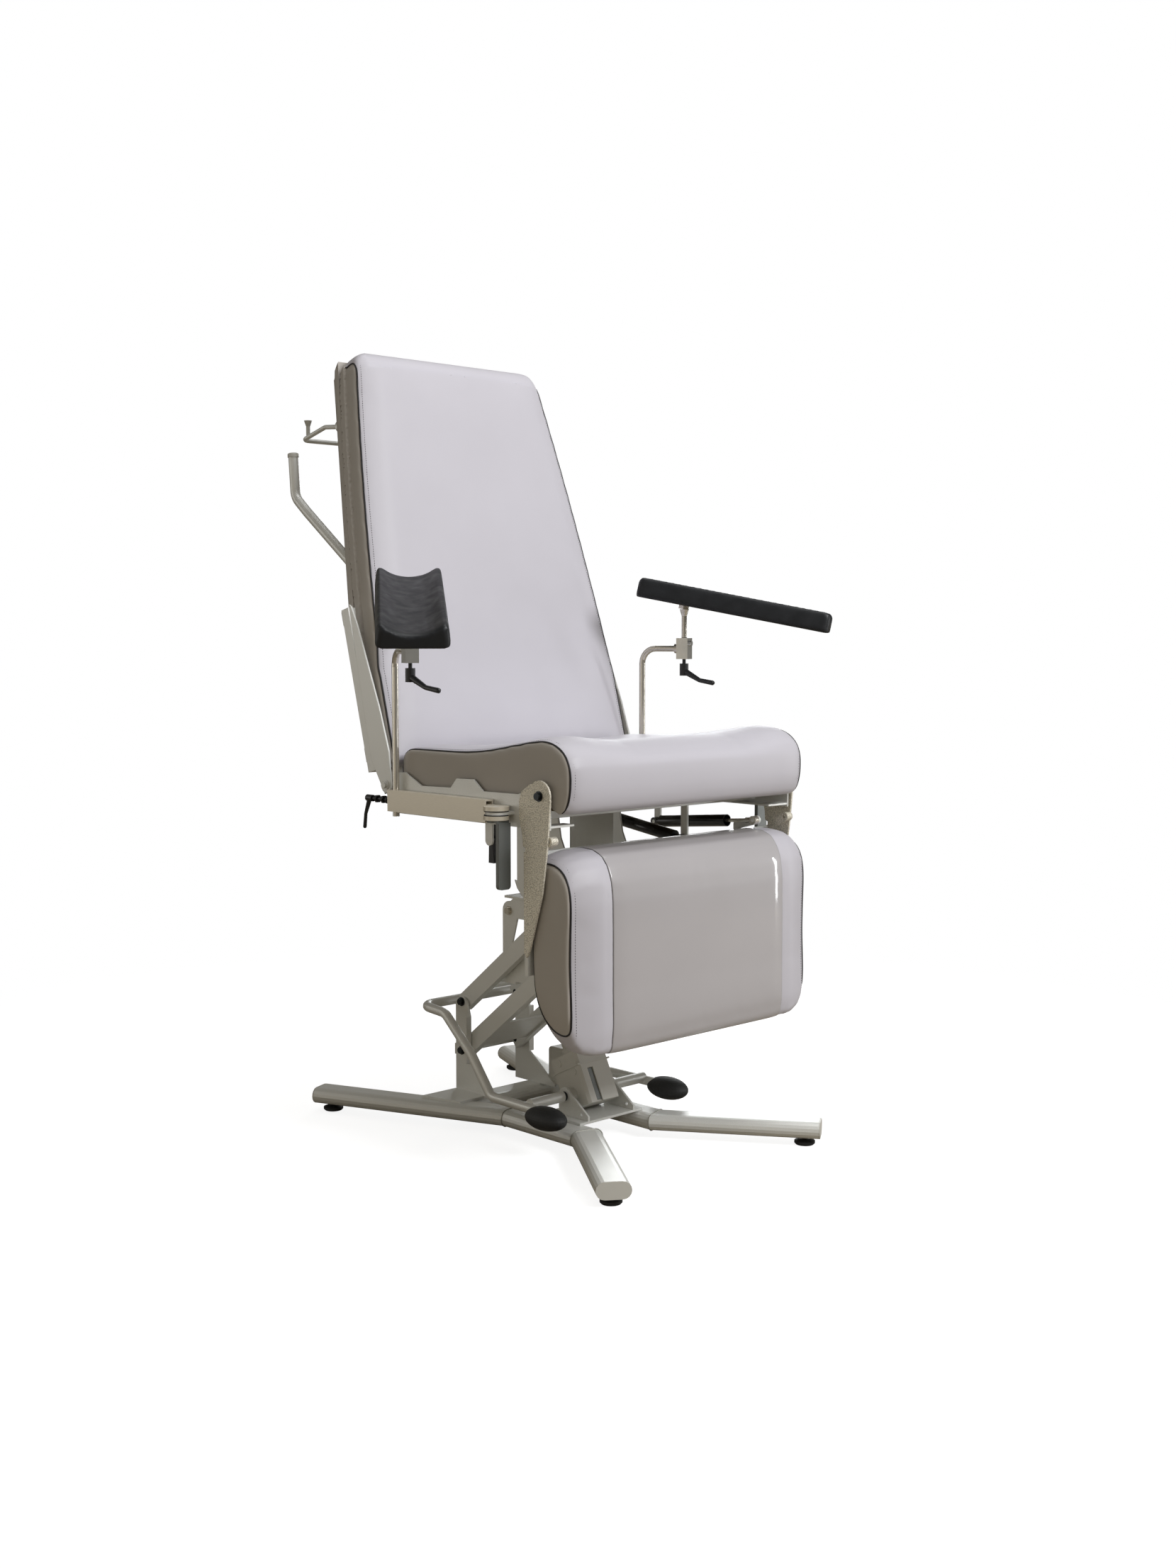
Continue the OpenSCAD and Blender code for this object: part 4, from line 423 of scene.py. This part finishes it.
# %% Inflating and cutting
def inflated(node, name, voxel, crown, held, shrink=0.002):
    """A copy of a CAD cushion, remeshed and blown up by cloth pressure.

    Each vertex moves only outward, by crown at most, and not at all on the side that rests on its
    board, whose outward direction is held.
    """
    obj = copy_of(node, name)
    applied(obj, "REMESH", mode="VOXEL", voxel_size=voxel, use_smooth_shade=True)
    applied(obj, "DISPLACE", strength=-shrink, mid_level=0.0)
    start = [v.co.copy() for v in obj.data.vertices]
    out = [v.normal.copy() for v in obj.data.vertices]
    only(obj)
    cloth = obj.modifiers.new("Cloth", "CLOTH")
    cloth.settings.quality = 4
    cloth.settings.tension_stiffness = 40
    cloth.settings.compression_stiffness = 40
    cloth.settings.use_pressure = True
    cloth.settings.uniform_pressure_force = 4.0
    cloth.settings.effector_weights.gravity = 0.0
    cloth.point_cache.frame_end = 20
    for step in range(1, 21):
        scene.frame_set(step)
    bpy.ops.object.modifier_apply(modifier="Cloth")
    scene.frame_set(1)
    swell = [max(0.0, (v.co - a).dot(n)) for v, a, n in zip(obj.data.vertices, start, out)]
    most = max(swell)
    for v, a, n, far in zip(obj.data.vertices, start, out, swell):
        free = 1 - min(1.0, max(0.0, n.dot(held)) * 1.6)
        v.co = a + n * (free * crown * math.tanh(2 * far / most))
    print(name, "swelled by up to", round(most * 1000), "mm, kept", crown * 1000)
    applied(obj, "SMOOTH", factor=0.5, iterations=3)
    applied(obj, "SUBSURF", levels=1, render_levels=1)
    return obj


def share(value, low, high):
    """How far a value lies between two others, from 0 to 1."""
    return max(0.0, min(1.0, (value - low) / (high - low)))


def loop_along(obj, point, normal, name):
    """Cuts obj along a plane and returns the cut line as its own object."""
    only(obj)
    bpy.ops.object.mode_set(mode="EDIT")
    bpy.ops.mesh.select_mode(type="EDGE")
    bpy.ops.mesh.select_all(action="SELECT")
    bpy.ops.mesh.bisect(plane_co=point, plane_no=normal)
    bpy.ops.mesh.duplicate()
    bpy.ops.mesh.separate(type="SELECTED")
    bpy.ops.object.mode_set(mode="OBJECT")
    line = next(o for o in bpy.context.selected_objects if o is not obj)
    line.name = name
    line.data.materials.clear()
    only(line)
    bpy.ops.object.mode_set(mode="EDIT")
    bpy.ops.mesh.select_mode(type="VERT")
    bpy.ops.mesh.select_all(action="SELECT")
    bpy.ops.mesh.remove_doubles(threshold=0.0035)
    bpy.ops.mesh.vertices_smooth(factor=0.5, repeat=6)
    bpy.ops.object.mode_set(mode="OBJECT")
    return line


def trimmed(line, test):
    """Removes the parts of a line whose place passes the test."""
    if pick(line, test):
        bpy.ops.mesh.delete(type="VERT")
    bpy.ops.object.mode_set(mode="OBJECT")
    return line


def corded(line, radius):
    """Turns a line of edges into a round cord."""
    only(line)
    bpy.ops.object.convert(target="CURVE")
    line = bpy.context.object
    line.data.bevel_depth = radius
    line.data.bevel_resolution = 2
    line.data.use_fill_caps = True
    bpy.ops.object.convert(target="MESH")
    line = bpy.context.object
    bpy.ops.object.shade_smooth()
    return line


def stitched(line, name, pitch=0.0052, radius=0.0007):
    """A row of short threads that follows a line of edges."""
    only(line)
    bpy.ops.object.convert(target="CURVE")
    path = bpy.context.object
    bpy.ops.mesh.primitive_uv_sphere_add(segments=6, ring_count=4, radius=radius)
    row = bpy.context.object
    row.name = name
    row.rotation_euler = (0, math.radians(90), 0)
    row.scale = (1, 1, pitch * 0.32 / radius)
    done(row)
    applied(row, "ARRAY", fit_type="FIT_CURVE", curve=path, use_relative_offset=False,
            use_constant_offset=True, constant_offset_displace=(pitch, 0, 0))
    applied(row, "CURVE", object=path, deform_axis="POS_X")
    only(row)
    bpy.ops.object.shade_smooth()
    bpy.data.objects.remove(path)
    return row


def panelled(obj, main, other, test):
    """Gives the faces whose place passes the test the second material."""
    obj.data.materials.clear()
    obj.data.materials.append(main)
    obj.data.materials.append(other)
    pick(obj, test, "FACE")
    obj.active_material_index = 1
    bpy.ops.object.material_slot_assign()
    bpy.ops.object.mode_set(mode="OBJECT")
    return obj


# %% [markdown]
# ## Seat cushion
# One cover runs over the dished seat and round the front roll. Its two ends close with side panels,
# and a black piping cord marks the joint with a row of stitches beside it.

# %% Seat cushion
PIPING_RADIUS, STITCH_GAP = 0.0021, 0.0085
SEAT_EDGE = 0.3325
seat = inflated("seat_cushion", "seat_cushion_cover", 0.0075, 0.006, Vector((0, 0, -1)))
# The roll eases off towards its ends, downwards on top and backwards in front
for v in seat.data.vertices:
    v.co.x = max(-0.3415, min(0.3415, v.co.x))
    ease = 0.006 * share(abs(v.co.x), 0.265, 0.3415) ** 2
    v.co.z -= ease * share(v.co.z, 0.765, 0.865)
    v.co.y += ease * share(-v.co.y, 0.330, 0.420)
for side, word in ((-1, "right"), (1, "left")):
    line = loop_along(seat, (side * SEAT_EDGE, 0, 0.8), (1, 0, 0), "seat_piping_" + word)
    trimmed(line, lambda p: p.z < 0.7545 and p.y > -0.385)
    finish_piece(corded(line, PIPING_RADIUS), "seat", PIPING)
    line = loop_along(seat, (side * (SEAT_EDGE - STITCH_GAP), 0, 0.8), (1, 0, 0), "seat_stitch_line")
    trimmed(line, lambda p: p.z < 0.7545 and p.y > -0.385)
    finish_piece(stitched(line, "seat_stitches_" + word), "seat", THREAD)
# The side panels get the darker, warmer copy of the vinyl, a painted shade.
panelled(seat, VINYL, SHADED_SIDE_VINYL, lambda p: abs(p.x) > SEAT_EDGE)
smooth(seat, 60)
finish_piece(seat, "seat", VINYL)
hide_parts("seat_cushion")
print("seat", len(seat.data.polygons), "faces")

# %% [markdown]
# ## Back cushion
# The back is narrower at the top. Its side panels follow that taper, so the cut runs upright below
# and leans in above.

# %% Back cushion
LEAN = math.radians(14.9)
BACK_Y, BACK_Z = 0.103, 0.860  # where the front face of the back meets its own zero height


def on_back(x, d, u):
    """A place given across the back, behind its front face and up along it."""
    return Vector((x, BACK_Y + d * math.cos(LEAN) + u * math.sin(LEAN),
                   BACK_Z - d * math.sin(LEAN) + u * math.cos(LEAN)))


def up_back(p):
    """How far up along the back a place is."""
    return (p.y - BACK_Y) * math.sin(LEAN) + (p.z - BACK_Z) * math.cos(LEAN)


def behind_back(p):
    """How far behind the front face of the back a place is."""
    return (p.y - BACK_Y) * math.cos(LEAN) - (p.z - BACK_Z) * math.sin(LEAN)


TAPER_FROM, TAPER_TO = 0.150, 0.862
HALF_LOW, HALF_TOP = 0.346, 0.252
CORNER, REAR, BULGE = 0.014, 0.045, 0.011
BACK_PIPING_AT, BACK_STITCH_AT = 0.978, 0.952  # as shares of half the width


def half_back(u):
    """Half the width of the back at a height up along it, with its top corners rounded."""
    half = HALF_LOW + (HALF_TOP - HALF_LOW) * share(u, TAPER_FROM, TAPER_TO)
    half += BULGE * math.sin(math.pi * share(u, 0.20, 1.05))
    over = share(u, TAPER_TO - CORNER, TAPER_TO) * CORNER
    return half - CORNER + math.sqrt(CORNER**2 - over**2)


def rolled_back(p):
    """Brings a place onto the big round over the top of the back."""
    d, u = behind_back(p) - REAR, up_back(p) - (TAPER_TO - REAR)
    if u <= 0 or d * d + u * u <= REAR**2:
        return p
    if d > 0:
        return p - up_along * (u - math.sqrt(max(REAR**2 - d * d, 0.0)))
    excess = 1 - REAR / math.sqrt(d * d + u * u)
    return p - (BEHIND * d + up_along * u) * excess


up_along = Vector((0, math.sin(LEAN), math.cos(LEAN)))
BEHIND = Vector((0, math.cos(LEAN), -math.sin(LEAN)))
back = inflated("back_cushion", "back_cushion_cover", 0.0078, 0.006, BEHIND)
# Drawn to even width, cut along upright planes, and let back
for v in back.data.vertices:
    u, d = up_back(v.co), behind_back(v.co)
    straight = HALF_LOW + (HALF_TOP - HALF_LOW) * share(u, TAPER_FROM, TAPER_TO)
    x = max(-1.0, min(1.0, v.co.x / straight))
    if abs(x) > 0.965 and d > 0.050:
        x = math.copysign(1.0, x)
        v.co += BEHIND * max(0.0, 0.0714 - d) * share(d, 0.062, 0.067)
    ease = 0.006 * share(abs(x), 0.80, 1.0) ** 2
    v.co += BEHIND * ease * share(-d, -0.060, -0.010) - up_along * ease * share(u, 0.770, 0.860)
    v.co = rolled_back(v.co)
    v.co.x = x
back_lines = []
for side, word in ((-1, "right"), (1, "left")):
    line = loop_along(back, (side * BACK_PIPING_AT, 0, 1.2), (1, 0, 0), "back_piping_" + word)
    back_lines.append((line, "piping", word))
    line = loop_along(back, (side * BACK_STITCH_AT, 0, 1.2), (1, 0, 0), "back_stitch_line")
    back_lines.append((line, "stitch", word))
# The side panels get the darker, warmer copy of the vinyl, a painted shade.
panelled(back, VINYL, SHADED_SIDE_VINYL, lambda p: abs(p.x) > BACK_PIPING_AT)
for obj in [back] + [line for line, _, _ in back_lines]:
    for v in obj.data.vertices:
        v.co.x *= half_back(up_back(v.co))
for line, kind, word in back_lines:
    trimmed(line, lambda p: behind_back(p) > 0.068)
    if kind == "piping":
        finish_piece(corded(line, PIPING_RADIUS), "back_rest", PIPING)
    else:
        finish_piece(stitched(line, "back_stitches_" + word), "back_rest", THREAD)
smooth(back, 60)
finish_piece(back, "back_rest", VINYL)
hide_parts("back_cushion")
print("back", len(back.data.polygons), "faces")

# %% [markdown]
# ## Board behind the back cushion
# The board is wrapped in the same darker, warmer vinyl as the side panels, a painted shade, and its top
# rolls over to the rear in one round with the cushion. Cuts across it give the round enough edges to
# bend at.

# %% Wrapped back board
board = copy_of("back_board", "back_board_cover")
cuts = [(on_back(0, 0, u), up_along) for u in (0.815, 0.822, 0.829, 0.836, 0.842, 0.847, 0.851)]
cuts += [(on_back(0, d, 0), BEHIND) for d in (0.0770, 0.0815, 0.0860)]
for place, normal in cuts:
    only(board)
    bpy.ops.object.mode_set(mode="EDIT")
    bpy.ops.mesh.select_all(action="SELECT")
    bpy.ops.mesh.bisect(plane_co=place, plane_no=normal)
bpy.ops.object.mode_set(mode="OBJECT")
for v in board.data.vertices:
    u = up_back(v.co)
    straight = HALF_LOW + (HALF_TOP - HALF_LOW) * share(u, TAPER_FROM, TAPER_TO)
    v.co.x = max(-1.0, min(1.0, v.co.x / (straight - 0.001))) * half_back(u)
    v.co = rolled_back(v.co)
applied(board, "BEVEL", width=0.003, segments=2, limit_method="ANGLE", angle_limit=math.radians(50))
smooth(board, 40)
# The board wears the side panels' darker, warmer vinyl, a painted shade.
finish_piece(board, "back_rest", SHADED_SIDE_VINYL)
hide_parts("back_board")
print("board", len(board.data.polygons), "faces")

# %% [markdown]
# ## Leg cushion
# The leg rest has a middle panel with a seam on each side. A clear sheet lies over that panel, where
# shoes rub.

# %% Leg cushion and its clear sheet
LEG_EDGE, LEG_SEAM = 0.338, 0.247
leg = inflated("leg_cushion", "leg_cushion_cover", 0.0065, 0.005, Vector((0, 1, 0)))
for v in leg.data.vertices:
    v.co.x = max(-0.3472, min(0.3472, v.co.x))
    ease = 0.006 * share(abs(v.co.x), 0.275, 0.3472) ** 2
    front = share(-v.co.y, 0.340, 0.440)
    seam = max(0.0, 1 - abs(abs(v.co.x) - LEG_SEAM) / 0.035) ** 2
    crown = 0.005 * (1 - share(abs(v.co.x), 0.0, 0.3472) ** 4)
    v.co.y += (ease + 0.0035 * seam - crown) * front
    v.co.z -= ease * share(v.co.z, 0.570, 0.660)
    v.co.z -= 0.030 * share(abs(v.co.x), LEG_SEAM, 0.3472) ** 2 * share(-v.co.z, -0.480, -0.330)
for side, word in ((-1, "right"), (1, "left")):
    line = loop_along(leg, (side * LEG_EDGE, 0, 0.5), (1, 0, 0), "leg_piping_" + word)
    trimmed(line, lambda p: p.y > -0.3285 and p.z > 0.415)
    finish_piece(corded(line, PIPING_RADIUS), "leg_rest", PIPING)
    line = loop_along(leg, (side * (LEG_EDGE - STITCH_GAP), 0, 0.5), (1, 0, 0), "leg_stitch_line")
    trimmed(line, lambda p: p.y > -0.3285 and p.z > 0.415)
    finish_piece(stitched(line, "leg_stitches_" + word), "leg_rest", THREAD)
    line = loop_along(leg, (side * LEG_SEAM, 0, 0.5), (1, 0, 0), "leg_seam_" + word)
    trimmed(line, lambda p: p.y > -0.3285 and p.z > 0.415)
    finish_piece(corded(line, 0.0010), "leg_rest", PIPING)
# The side panels get the darker, warmer copy of the vinyl, a painted shade.
panelled(leg, VINYL, SHADED_SIDE_VINYL, lambda p: abs(p.x) > LEG_EDGE)
smooth(leg, 60)
# The sheet is a copy of the panel's front faces, moved out and thickened
pick(leg, lambda p: abs(p.x) < LEG_SEAM - 0.001 and p.y < -0.345 and p.z > 0.262, "FACE")
bpy.ops.mesh.duplicate()
bpy.ops.mesh.separate(type="SELECTED")
bpy.ops.object.mode_set(mode="OBJECT")
sheet = next(o for o in bpy.context.selected_objects if o is not leg)
sheet.name = "leg_clear_sheet"
sheet.data.materials.clear()
applied(sheet, "DISPLACE", strength=0.0008, mid_level=0.0)
applied(sheet, "SOLIDIFY", thickness=0.0005, offset=1.0)
finish_piece(sheet, "leg_rest", FILM)
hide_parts("leg_clear_cover")
finish_piece(leg, "leg_rest", VINYL)
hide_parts("leg_cushion")
print("leg", len(leg.data.polygons), "faces")

# %% [markdown]
# ## Arm gutters
# Each arm rests in a trough moulded from foam with its own skin. Such a moulding has no sharp edge
# anywhere, so the CAD form is remeshed finely and relaxed.

# %% Arm gutters
for word in ("right", "left"):
    trough = copy_of("gutter_" + word, "gutter_pad_" + word)
    applied(trough, "REMESH", mode="VOXEL", voxel_size=0.003, use_smooth_shade=True)
    applied(trough, "SMOOTH", factor=0.5, iterations=8)
    only(trough)
    bpy.ops.object.shade_smooth()
    finish_piece(trough, word + "_gutter", GUTTER_SKIN)
    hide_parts("gutter_" + word)
    print("trough", word, len(trough.data.polygons), "faces")

# %% [markdown]
# ## Weld beads, bolts and a painted shade on the drive
# The floor rails are cut at an angle and welded, which leaves a thin bead round each joint. A bead could
# be drawn in the paint, but it catches the light, so each one is a closed line of points turned into a
# round cord. The bolts at the pivots are dark. Down the front of the lift drive lies a thin dark bar
# with broken edges, a painted shade standing for the recess there.


# %% Weld beads
def weld_bead(name, body, points, radius):
    """A closed bead of weld along these points."""
    mesh = bpy.data.meshes.new(name)
    mesh.from_pydata(points, [(i, (i + 1) % len(points)) for i in range(len(points))], [])
    line = bpy.data.objects.new(name, mesh)
    scene.collection.objects.link(line)
    bead = corded(line, radius)
    return finish_piece(bead, body, WELD)


def rail_ring(place, before, after, low=0.017, high=0.052, half=0.035, grow=0.0006):
    """The outline of a flat oval rail where two lengths meet at an angle."""
    a, b = Vector(before).normalized(), Vector(after).normalized()
    flat = (a + b).normalized()
    stretch = 1 / math.sqrt(max(0.2, (1 - a.dot(b)) / 2))
    radius, mid = (high - low) / 2 + grow, (high + low) / 2
    points = []
    for step in range(40):
        turn = 2 * math.pi * step / 40
        side = math.copysign(half - radius + grow, math.cos(turn)) + radius * math.cos(turn)
        points.append((place[0] + flat.x * side * stretch, place[1] + flat.y * side * stretch,
                       mid + radius * math.sin(turn)))
    return points


RAIL = ((0.304, -0.513), (0.103, -0.228), (0.103, 0.007), (0.286, 0.452))
beads = 0
for side, word in ((-1, "right"), (1, "left")):
    path = [Vector((side * x, y)) for x, y in RAIL]
    for i in (1, 2):
        ring = rail_ring(path[i], path[i - 1] - path[i], path[i + 1] - path[i])
        weld_bead("rail_weld_" + word + "_" + str(i), "base", ring, 0.0011)
        beads += 1
print(beads, "weld beads")

# %% Pivot bolts and the painted shade in the drive's recess
for name in ("leg_hinge_pins", "base_pivot_pins"):
    NODES[name].data.materials[0] = DARK_BOLT
DRIVE_FOOT = Vector((0, -0.125, 0.098))
DRIVE_TURN = math.atan2(0.185, 0.375)
# A thin dark bar on the housing, a painted shade for the recess down the drive's front.
bpy.ops.mesh.primitive_cube_add(size=1)
recess_shade = bpy.context.object
recess_shade.name = "drive_recess_shade"
recess_shade.scale = (0.0150, 0.0012, 0.0700)
recess_shade.location = (-0.015, -0.0410, 0.0060)
done(recess_shade)
only(recess_shade)
bpy.ops.object.mode_set(mode="EDIT")
bpy.ops.mesh.select_all(action="SELECT")
bpy.ops.mesh.bevel(offset=0.0004, segments=1)
bpy.ops.object.mode_set(mode="OBJECT")
for v in recess_shade.data.vertices:
    v.co = DRIVE_FOOT + Matrix.Rotation(-DRIVE_TURN, 3, "X") @ v.co
finish_piece(recess_shade, "drive", FINISHES["dark_grey_metal"])
print("recess_shade", [round(c, 3) for c in recess_shade.data.vertices[0].co])

# %% [markdown]
# ## Room, light and camera
# A pale floor meets a white room. The key lamp stands high in front and the top lamp fills from
# above. A narrow window lamp draws the bright streak on the clear sheet, a rim lamp and a weak warm
# wall light the sides, and the reflector is seen only in the metals. The camera stands where the
# photographer stood.


# %% Floor and lamps
def two_sided_view(tree, seen, unseen, output):
    """Shows one shader to the camera and the other to all other rays."""
    path = tree.nodes.new("ShaderNodeLightPath")
    mix = tree.nodes.new("ShaderNodeMixShader")
    tree.links.new(path.outputs["Is Camera Ray"], mix.inputs[0])
    tree.links.new(unseen, mix.inputs[1])
    tree.links.new(seen, mix.inputs[2])
    tree.links.new(mix.outputs[0], output)


bpy.ops.mesh.primitive_plane_add(size=40, location=(0, 0, 0))
floor = bpy.context.object
floor.name = "floor"
paint = Paint("floor_white", (0.30, 0.26, 0.20), 0.9)
glow = paint.node("ShaderNodeEmission", {}, {"Color": (1, 1, 1, 1), "Strength": 0.86})
matt = paint.node("ShaderNodeBsdfDiffuse", {}, {"Color": (0.42, 0.42, 0.42, 1)})
near = paint.node("ShaderNodeAddShader", {}, {0: glow, 1: matt})
plain = paint.node("ShaderNodeEmission", {}, {"Color": (1, 1, 1, 1), "Strength": 1.0})
distance = paint.node("ShaderNodeVectorMath", {"operation": "LENGTH"}, {0: paint.place}, out=1)
away = paint.ranged(distance, 0.9, 2.2)
white = paint.node("ShaderNodeMixShader", {}, {0: away, 1: near, 2: plain})
two_sided_view(paint.tree, white.socket, paint.shader.outputs[0],
               paint.tree.nodes["Material Output"].inputs["Surface"])
floor.data.materials.append(paint.material)

world = bpy.data.worlds.new("studio")
scene.world = world
world.use_nodes = True
wt = world.node_tree
wt.nodes.clear()
lit = wt.nodes.new("ShaderNodeBackground")
lit.inputs["Color"].default_value = (1.0, 0.95, 0.84, 1)
lit.inputs["Strength"].default_value = 0.20
seen = wt.nodes.new("ShaderNodeBackground")
seen.inputs["Color"].default_value = (1, 1, 1, 1)
end = wt.nodes.new("ShaderNodeOutputWorld")
two_sided_view(wt, seen.outputs[0], lit.outputs[0], end.inputs["Surface"])


def lamp(name, place, aim, size, watts, tone=(1, 1, 1)):
    data = bpy.data.lights.new(name, "AREA")
    data.shape = "RECTANGLE"
    data.size, data.size_y = size
    data.energy = watts
    data.color = tone
    obj = bpy.data.objects.new(name, data)
    scene.collection.objects.link(obj)
    obj.location = place
    obj.rotation_euler = (Vector(aim) - Vector(place)).to_track_quat("-Z", "Y").to_euler()
    return obj


lamp("key", (0.5, -4.2, 3.3), (0, 0, 1.1), (1.8, 1.6), 165, (0.97, 0.985, 1.0))
lamp("top", (0.3, -0.6, 4.0), (0, 0, 0.5), (2.6, 2.6), 48, (0.98, 0.99, 1.0))
lamp("window", (3.2, -2.2, 0.80), (0.3, -0.4, 0.7), (0.30, 1.5), 20, (0.97, 0.985, 1.0))
mirror_light = lamp("reflector", (-3.4, 2.8, 1.5), (0, 0, 0.9), (3.2, 2.4), 26, (1.0, 0.985, 0.95))
mirror_light.visible_diffuse = False
lamp("rim", (3.4, 2.6, 1.6), (0, 0, 0.9), (1.4, 2.2), 36, (0.95, 0.98, 1.0))
lamp("wall", (-4.2, -0.8, 1.4), (0, 0, 0.7), (3.2, 2.4), 11, (1.0, 0.90, 0.74))

scene.view_settings.view_transform = "Standard"

# %% Camera
cam_data = bpy.data.cameras.new("camera")
cam_data.sensor_width = 36
cam_data.lens = 40.94
camera = bpy.data.objects.new("camera", cam_data)
scene.collection.objects.link(camera)
camera.location = (-2.5926, -2.8431, 1.0750)
camera.rotation_euler = (math.radians(90 - 4.833), 0, math.radians(-43.64))
scene.camera = camera
